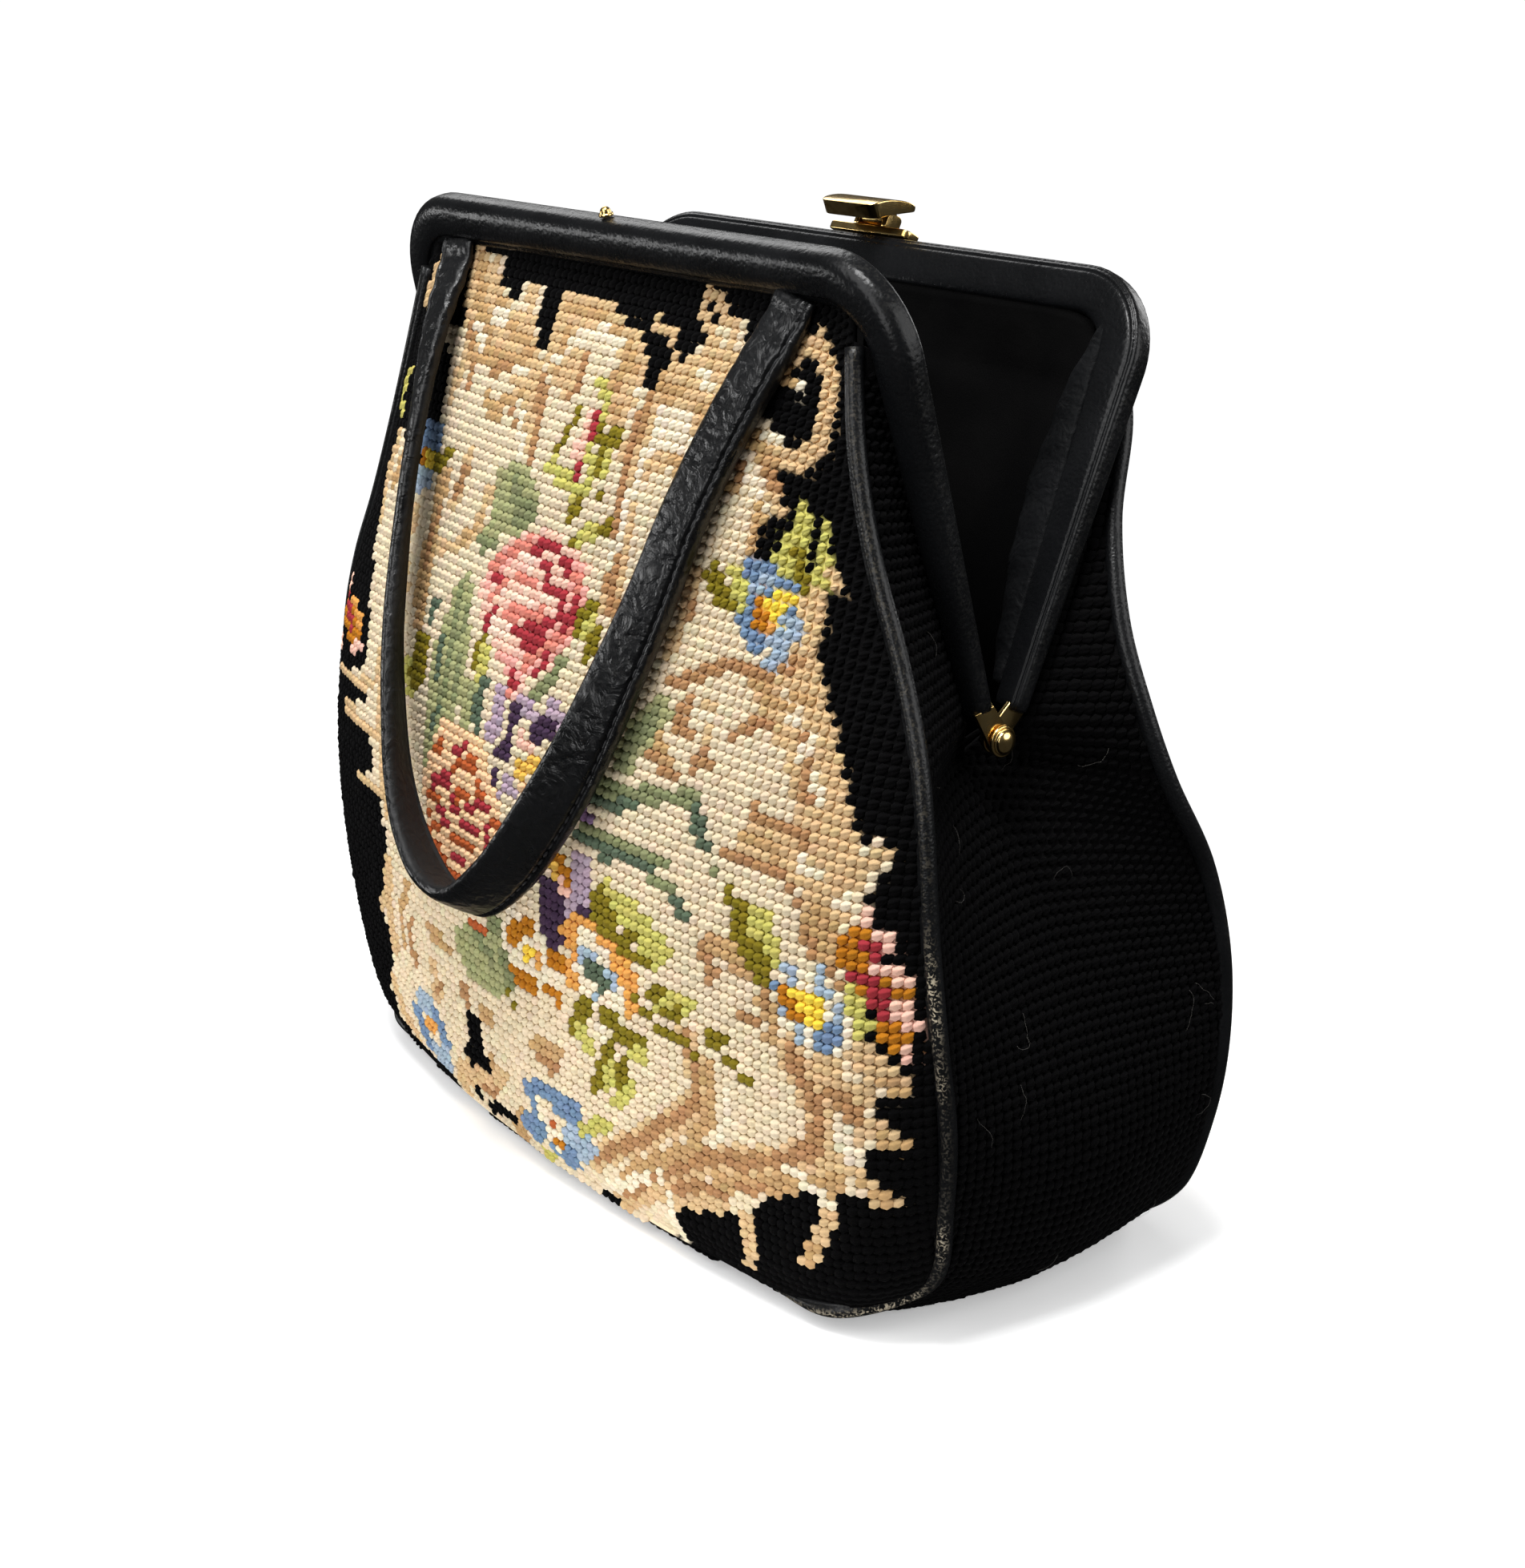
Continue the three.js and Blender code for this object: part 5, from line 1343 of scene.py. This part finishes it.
facing_leather = leather("facing_leather", 1.2, 1.4, 0.3, 0.45, 0.06, (0.1, 0.1, 0.1, 1))
for half in HALVES:
    for hand, word in ((1, "right"), (-1, "left")):
        heights = np.linspace(FACING_FOOT, FACING_TOP, FACING_ROWS)
        over, up = np.meshgrid(np.linspace(0, 1, FACING_COLUMNS), heights)
        up = up.ravel()
        over = over.ravel()
        outer, width, deep = rail_at(up)
        broad = 4 + 7 * np.sin(np.pi * (up - FACING_FOOT) / (FACING_TOP - FACING_FOOT))
        ripple = 0.22 * np.sin(0.7 * up + 2 * over) + 0.3 * np.sin(0.31 * up + 5 * over)
        out = 1.6 - 1.4 * np.sin(np.pi * over) + over * (1.5 + ripple)
        points = on_half(half, hand * (outer - width + 0.6 - over * broad), out, up)
        quads = grid_faces(FACING_ROWS, FACING_COLUMNS)
        skin = wall(points, quads, FACING_HALF_THICKNESS, -FACING_HALF_THICKNESS)
        facing = add_piece(f"{half}_facing_{word}", *skin, facing_leather)
        add_values(facing, "wear", np.zeros(2 * len(points)))


# Carrying strap: a strip of crinkled black leather folded to a flat band and sewn along its outer edge.
# Both ends are caught under the front rail, and it hangs in a loop over the front panel.
STRAP_WIDTH = 15.4
STRAP_THICKNESS = 4.4
STRAP_SIDES = 96
STRAP_RINGS = 260
STRAP_SEAT = 1.75
END_HEIGHT = 220
END_TAPER = 16.0
SEWN_AT = 0.68
# Route of the strap: across, height, twist in degrees, slack in front of the panel
STRAP_TABLE = np.array([
    [65.5, 228, 0, 0],
    [64, 222, 0, 0],
    [60.5, 211, 0, 0.3],
    [54.5, 196, 2, 0.6],
    [48.5, 178, 4, 1],
    [43, 159, 8, 1],
    [37, 140, 14, 1],
    [30, 120, 26, 1],
    [20, 102.5, 40, 1],
    [6.5, 86, 52, 1],
    [-11, 74.5, 60, 1],
    [-26, 75.5, 62, 1],
    [-38, 84.5, 56, 1],
    [-46, 97, 48, 1],
    [-52, 114, 42, 1],
    [-57.5, 131, 38, 1],
    [-62, 150.5, 36, 1],
    [-63.3, 170.5, 33, 1],
    [-64.5, 190.5, 26, 0.6],
    [-66.5, 208.5, 13, 0.3],
    [-69, 222, 0, 0],
    [-69.5, 228, 0, 0],
])
shares, stations = np.meshgrid(np.linspace(-1, 1, 161), np.linspace(0, 11, 221))
front_places = panel("front", shares.ravel(), stations.ravel())
route = []
for across, height, twist, slack in STRAP_TABLE:
    nearest = np.argmin((front_places[:, 0] - across) ** 2 + (front_places[:, 2] - height) ** 2)
    lean = math.radians(twist)
    reach = 0.5 * (STRAP_WIDTH * math.sin(lean) + STRAP_THICKNESS * math.cos(lean))
    if height > END_HEIGHT:
        reach *= 0.5
    route.append([across, front_places[nearest, 1] - STRAP_SEAT - slack - reach, height])
share = np.linspace(0, 1, STRAP_RINGS)
fine = np.linspace(0, len(route) - 1, 2000)
length = length_along(smooth(route, fine))
strap_length = length[-1]
place_at = np.interp(share * strap_length, length, fine)
strap_line = smooth(route, place_at)
twist = np.radians(smooth(STRAP_TABLE[:, 2], place_at)[:, 0])[:, None]
tangent = unit(np.gradient(strap_line, axis=0))
in_plane = unit(np.cross(tangent, [0.0, 1.0, 0.0]))
outward = np.cross(tangent, in_plane)
breadth = in_plane * np.cos(twist) - outward * np.sin(twist)
face = np.cross(tangent, breadth)
from_end = np.minimum(share, 1 - share)
near_end = from_end * strap_length
thickness = STRAP_THICKNESS * (0.45 + 0.55 * np.clip(near_end / END_TAPER, 0, 1) ** 0.7)
width = STRAP_WIDTH * (0.98 - 0.14 * ridge(from_end, 0, 0.28))
angle = ring_angles(STRAP_SIDES)
across = np.sign(np.cos(angle)) * np.abs(np.cos(angle)) ** 0.5
proud = np.sign(np.sin(angle)) * np.abs(np.sin(angle)) ** 0.8
rolled_edge = 0.16 * ridge(across, SEWN_AT + 0.19, 0.11) - 0.5 * ridge(across, SEWN_AT, 0.07)
waver = (0.35 * np.sin(0.9 * near_end) * np.exp(-near_end / 14))[:, None]
level = 0.5 * thickness[:, None] * (proud + np.sign(proud) * rolled_edge + waver * np.abs(proud))
rings = strap_line[:, None] + breadth[:, None] * (0.5 * width[:, None] * across)[..., None]
rings = rings + face[:, None] * level[..., None]
strap_leather = leather("strap_leather", 2.4, 0.9, 0.65, 0.19, 0.38, (0.15, 0.14, 0.125, 1))
strap = add_piece("carrying_strap", *loft(rings), strap_leather)
add_values(strap, "wear", np.append(np.repeat(0.015 + 0.01 * np.sin(9 * share), STRAP_SIDES), [0, 0]))
add_values(strap, "dull", np.append(np.tile(np.clip(-1.5 * proud, 0, 1), STRAP_RINGS), [0, 0]))
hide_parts("handle_strap")

THREAD_STEP = 3.1
THREAD_RADIUS = 0.3
thread_finish, thread_shader, thread_place = new_finish("strap_thread", Sheen_Weight=0.1)
strand = thread_place.noise(4000.0)
feed(
    thread_shader,
    Base_Color=strand.mixed((0.004, 0.004, 0.005, 1), (0.014, 0.014, 0.016, 1)),
    Roughness=0.6 + 0.3 * strand,
    Normal=bumped(strand, 0.1),
)
thread_parts = []
turn = np.arange(6) / 6 * 2 * np.pi
for start in np.arange(7, strap_length - 9, THREAD_STEP):
    for side in (1, -1):
        rings = []
        for along, size in ((0, 0.25), (0.5, 0.9), (1.2, 1.0), (1.9, 0.9), (2.4, 0.25)):
            at = (start + along) / strap_length * (STRAP_RINGS - 1)
            low = int(at)
            mix = at - low
            middle, wide, out, thick, broad = (
                row[low] * (1 - mix) + row[low + 1] * mix
                for row in (strap_line, breadth, face, thickness, width)
            )
            centre = middle + wide * (0.5 * broad * SEWN_AT) + out * (side * (0.25 * thick + 0.05))
            ring = wide * np.cos(turn)[:, None] + out * np.sin(turn)[:, None]
            rings.append(centre + THREAD_RADIUS * size * ring)
        thread_parts.append(loft(np.array(rings)))
thread = add_piece("strap_thread", *joined(thread_parts), thread_finish)
tuple(strap_line[0] * MM)
[tuple(point * MM) for point in strap_line]


# Hinge: on each side a flat gilt tab at the end of each arm, and one stepped rivet with a domed head
# that holds the pair of tabs together.
TAB_THICKNESS = 1.2
TAB_EYE_RADIUS = 3.3
TAB_ACROSS = {"front": 101.5, "back": 99.8}
RIVET_RADIUS = 1.6
CLEARANCE = 0.3


def gilt_finish(name):
    finish, shader, place = new_finish(name, Metallic=1.0, Specular_IOR_Level=0.5)
    tarnish = place.noise(260.0, 4.0, 0.6)
    hairlines = place.noise(1800.0, 2.0, 2.0)
    dents = place.noise(170.0, 2.0)
    feed(
        shader,
        Base_Color=tarnish.between(0.35, 0.7).mixed((0.88, 0.64, 0.27, 1), (0.66, 0.42, 0.13, 1)),
        Roughness=0.12 + 0.13 * tarnish,
        Normal=bumped(0.06 * hairlines + dents, 0.14),
    )
    return finish


def bevelled(outline, low, high, bevel):
    """Plate of an outline drawn in a plane, with rounded edges: rows of (u, v, height)."""
    centre = outline.mean(0)
    reach = np.linalg.norm(outline - centre, axis=1, keepdims=True)
    angle = np.linspace(0, 0.5 * np.pi, 5)
    insets = bevel * (1 - np.sin(angle))
    rises = bevel * (1 - np.cos(angle))
    rings = []
    for inset, level in [*zip(insets, low + rises), *zip(insets[::-1], high - rises[::-1])]:
        flat = centre + (outline - centre) * (1 - inset / reach)
        rings.append(np.column_stack([flat, np.full(len(flat), level)]))
    return np.array(rings)


def lathe(profile, segments=56):
    """Rings of a turned piece about the first axis, from rows of (along, radius)."""
    turn = np.arange(segments) / segments * 2 * np.pi
    return np.array([
        np.column_stack([np.full(segments, along), radius * np.cos(turn), radius * np.sin(turn)])
        for along, radius in profile
    ])


gilt = gilt_finish("gilt_brass")
for half, across in TAB_ACROSS.items():
    side = HALVES[half][0]
    bottom = np.linspace(0, -np.pi, 25)
    eye = TAB_EYE_RADIUS * np.stack([np.cos(bottom), np.sin(bottom)], -1)
    top_depths = (-ARM_END_DEPTH - MATING_GAP, -0.5 * ARM_END_DEPTH, -MATING_GAP)
    top = [(depth, ARM_END_HEIGHT - CLEARANCE) for depth in top_depths]
    outline = np.vstack([eye, top]) * (-side, 1)
    plate = bevelled(outline, 0, TAB_THICKNESS, 0.3)
    for hand, word in ((1, "right"), (-1, "left")):
        x = hand * (across + plate[..., 2])
        places = on_half(half, x, side * plate[..., 0], plate[..., 1])
        tab = add_piece(f"{half}_hinge_tab_{word}", *loft(places), gilt, smooth=40)
        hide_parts(f"{half}_tab_{word}")

head = TAB_ACROSS["front"] + TAB_THICKNESS + CLEARANCE
inside = TAB_ACROSS["back"] - CLEARANCE
dome = [(head + 1.3 + 1.35 * math.sin(a), 2.75 * math.cos(a)) for a in np.linspace(0.05, 1.5, 14)]
rivet_profile = [
    (inside - 1, 1.2), (inside - 0.95, 2.3), (inside - 0.75, 2.6), (inside - 0.1, 2.6), (inside, 2.5),
    (inside, RIVET_RADIUS), (head, RIVET_RADIUS), (head, 3.45), (head + 0.12, 3.65), (head + 0.3, 3.7),
    (head + 0.6, 3.68), (head + 0.82, 3.5), (head + 0.9, 3.28), (head + 0.9, 3.12), (head + 1.05, 3.14),
    (head + 1.18, 3.04), (head + 1.27, 2.85), *dome,
]
for hand, word in ((1, "right"), (-1, "left")):
    rings = lathe(rivet_profile) * (hand, 1, 1) + (0, HINGE_DEPTH, HINGE_HEIGHT)
    rivet = add_piece(f"hinge_rivet_head_{word}", *loft(rings), gilt, smooth=50)
    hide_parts(f"hinge_rivet_{word}")


# Clasp: a gilt plate with two ears on the back rail, a pin through them, and a crowned lever that turns
# on the pin and drops over the round stud on the front rail.
CLASP_ACROSS = -5.0
CLASP_OUT = 4.2
SEAT_GAP = 0.4
PIVOT_HEIGHT = ARM_LENGTH + 5.2
EAR_INNER = 4.4
EAR_OUTER = 6.1
EAR_RISE = 1.4
LEVER_DROP = math.radians(12)
LEVER_BACK = 3.4
LEVER_LENGTH = 15.7
LEVER_HALF_WIDTH = 10.4
LEVER_CORNER = 2.4
LEVER_TOP = 5.8
LEVER_UNDERSIDE = 3.2
STUD_HEIGHT_SHARE = 0.95
STUD_WIDTH_SHARE = 0.68


def rounded(left, right, low, high, radius, steps=7):
    """Outline of a rectangle with round corners."""
    corners = ((right, high, 0), (left, high, 0.5), (left, low, 1), (right, low, 1.5))
    places = []
    for x, y, start in corners:
        middle = (x - radius if x == right else x + radius, y - radius if y == high else y + radius)
        for angle in np.linspace(start * np.pi, (start + 0.5) * np.pi, steps):
            places.append((middle[0] + radius * math.cos(angle), middle[1] + radius * math.sin(angle)))
    return np.array(places)


def on_clasp(places, drop=0.0):
    """From the pin's own axes, across, toward the back and up, to the bag's, dropped about the pin."""
    across, back, up = places[..., 0], places[..., 1], places[..., 2]
    turned_back = back * math.cos(drop) - up * math.sin(drop)
    turned_up = back * math.sin(drop) + up * math.cos(drop)
    return on_half("back", CLASP_ACROSS + across, CLASP_OUT + turned_back, PIVOT_HEIGHT + turned_up)


foot = ARM_LENGTH + SEAT_GAP - PIVOT_HEIGHT
base_parts = [loft(on_clasp(bevelled(rounded(-15, 15, -2.7, 2.7, 1.6), foot, foot + 2, 0.5)))]
for hand in (1, -1):
    ear = bevelled(rounded(-2.5, 2.5, foot + 1.5, EAR_RISE, 1.3), EAR_INNER, EAR_OUTER, 0.3)
    base_parts.append(loft(on_clasp(np.stack([hand * ear[..., 2], ear[..., 0], ear[..., 1]], -1))))
clasp_base = add_piece("clasp_plate", *joined(base_parts), gilt, smooth=40)
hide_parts("clasp_base")
pin_profile = [(-4.1, 0.6), (-4.0, 0.9), (-3.8, 1.0), (3.8, 1.0), (4.0, 0.9), (4.1, 0.6)]
clasp_pin = add_piece("clasp_hinge_pin", *loft(on_clasp(lathe(pin_profile, 32))), gilt, smooth=50)
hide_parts("clasp_pin")
sections = []
for share in np.sin(np.linspace(-0.5 * np.pi, 0.5 * np.pi, 25)) * 0.5 + 0.5:
    from_end = min(share, 1 - share) * LEVER_LENGTH
    corner = LEVER_CORNER * (1 - math.sqrt(1 - max(1 - from_end / LEVER_CORNER, 0) ** 2))
    top = LEVER_TOP - 2.4 * share - 1.7 * abs(2 * share - 1) ** 2.4
    bottom = LEVER_UNDERSIDE - 4.6 * share
    section = rounded(-LEVER_HALF_WIDTH + corner, LEVER_HALF_WIDTH - corner, bottom, top, 0.35)
    undercut = 2.6 * (top - section[:, 1]) / (top - bottom) * share**3
    back = LEVER_BACK - LEVER_LENGTH * share + undercut
    sections.append(np.column_stack([section[:, 0], back, section[:, 1]]))
plate = np.array(sections)
stem = bevelled(rounded(-2.4, 2.4, -2.4, 4.2, 2.3), -3.9, 3.9, 0.3)
stem = np.stack([stem[..., 2], stem[..., 0], stem[..., 1]], -1)
lever_parts = [loft(on_clasp(plate, LEVER_DROP)), loft(on_clasp(stem, LEVER_DROP))]
lever = add_piece("clasp_lever_plate", *joined(lever_parts), gilt, body="lever", smooth=40)
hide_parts("clasp_lever")
stud_dome = [(2.4 - 1.5 * (1 - math.sin(a)), 2.0 * math.cos(a)) for a in np.linspace(0.05, 1.5, 12)]
stud_profile = [(0, 2.5), (0.15, 2.6), (0.5, 2.6), (0.7, 2.45), (0.78, 2.1), *stud_dome]
stud_rings = lathe(stud_profile, 40) * (STUD_HEIGHT_SHARE, STUD_WIDTH_SHARE, STUD_WIDTH_SHARE)
up, across, out = np.moveaxis(stud_rings, -1, 0)
stud_places = on_half("front", CLASP_ACROSS + across, CLASP_OUT + out, ARM_LENGTH + SEAT_GAP + up)
stud = add_piece("catch_stud_dome", *loft(stud_places), gilt, smooth=50)
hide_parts("catch_stud")


# Studio: a white table that fades into a white surround, a wide soft light above the front, smaller ones
# from above, both sides and behind, and the camera at the picture's own place and angle.
floor_mesh = bpy.data.meshes.new("floor")
floor_mesh.from_pydata([(-6, -6, 0), (6, -6, 0), (6, 6, 0), (-6, 6, 0)], [], [(0, 1, 2, 3)])
floor_finish, floor_shader, floor_place = new_finish(
    "white_table", Specular_IOR_Level=0.1, Emission_Color=(1, 1, 1, 1), Emission_Strength=0.3
)
from_bag = floor_place.node("ShaderNodeVectorMath", {"operation": "LENGTH"}, {0: floor_place}, "Value")
feed(
    floor_shader,
    Base_Color=floor_place.noise(3.0).mixed((0.9, 0.9, 0.9, 1), (0.93, 0.93, 0.93, 1)),
    Roughness=0.8 + 0.1 * floor_place.noise(40.0),
    Alpha=1.0 - from_bag.between(0.13, 0.33),
)
floor_mesh.materials.append(floor_finish)
floor = bpy.data.objects.new("floor", floor_mesh)
bpy.context.scene.collection.objects.link(floor)
floor.visible_glossy = False

world = bpy.data.worlds.new("surround")
world.use_nodes = True
bpy.context.scene.world = world
background = world.node_tree.nodes["Background"]
seen = Tone(world.node_tree).node("ShaderNodeLightPath", {}, {}, "Is Camera Ray")
toward = seen.node("ShaderNodeTexCoord", {}, {}, "Generated")
height = toward.node("ShaderNodeSeparateXYZ", {}, {"Vector": toward}, 2)
strength = 0.03 + 0.1 * height.between(-0.1, 0.7) + 1.02 * seen
world.node_tree.links.new(strength.socket, background.inputs["Strength"])
background.inputs["Color"].default_value = (1, 1, 1, 1)


def add_light(name, place, target, width, power, height=None):
    light = bpy.data.lights.new(name, "AREA")
    light.shape = "ELLIPSE"
    light.size = width
    light.size_y = height or width
    light.energy = power
    holder = bpy.data.objects.new(name, light)
    bpy.context.scene.collection.objects.link(holder)
    direction = Vector(target) - Vector(place)
    holder.matrix_world = Matrix.Translation(place) @ direction.to_track_quat("-Z", "Y").to_matrix().to_4x4()


add_light("soft_key", (-0.05, -1.2, 1.3), (0, 0, 0.12), 1.3, 14.2)
add_light("overhead", (0.17, -0.35, 1.4), (0, 0, 0.1), 0.5, 19.0)
add_light("fill", (0.45, -1.4, 0.5), (0, 0, 0.14), 0.8, 6.2)
add_light("low_strip", (-1.1, -0.85, 0.16), (0, 0, 0.16), 0.9, 3.5, 0.2)
add_light("window", (-1.15, 0.45, 1.2), (0, 0, 0.18), 1.0, 7.5)
add_light("back_right", (1.3, 0.7, 0.9), (0.05, 0, 0.15), 1.3, 13.0)
add_light("back_fill", (-0.1, 1.5, 0.7), (0, 0, 0.12), 0.9, 7.0)

CAMERA_TARGET = (0.0, 0.002, 0.125)
CAMERA_DISTANCE = 0.6431
AZIMUTH = math.radians(52.04)
ELEVATION = math.radians(15.16)
ROLL = math.radians(1.21)
back_dir = np.array([
    math.sin(AZIMUTH) * math.cos(ELEVATION), -math.cos(AZIMUTH) * math.cos(ELEVATION), math.sin(ELEVATION)
])
right_dir = np.array([math.cos(AZIMUTH), math.sin(AZIMUTH), 0.0])
up_dir = np.cross(right_dir, -back_dir)
image_x = right_dir * math.cos(ROLL) + up_dir * math.sin(ROLL)
image_y = -right_dir * math.sin(ROLL) + up_dir * math.cos(ROLL)
camera_matrix = np.eye(4)
camera_matrix[:3, 0] = image_x
camera_matrix[:3, 1] = image_y
camera_matrix[:3, 2] = back_dir
camera_matrix[:3, 3] = np.array(CAMERA_TARGET) + CAMERA_DISTANCE * back_dir
lens = bpy.data.cameras.new("camera")
lens.sensor_width = 36.0
lens.lens = 58.67
lens.shift_x = 0.0302
lens.shift_y = -0.0719
camera = bpy.data.objects.new("camera", lens)
camera.matrix_world = Matrix(camera_matrix.tolist())
bpy.context.scene.collection.objects.link(camera)
bpy.context.scene.camera = camera
bpy.context.scene.view_settings.view_transform = "Standard"
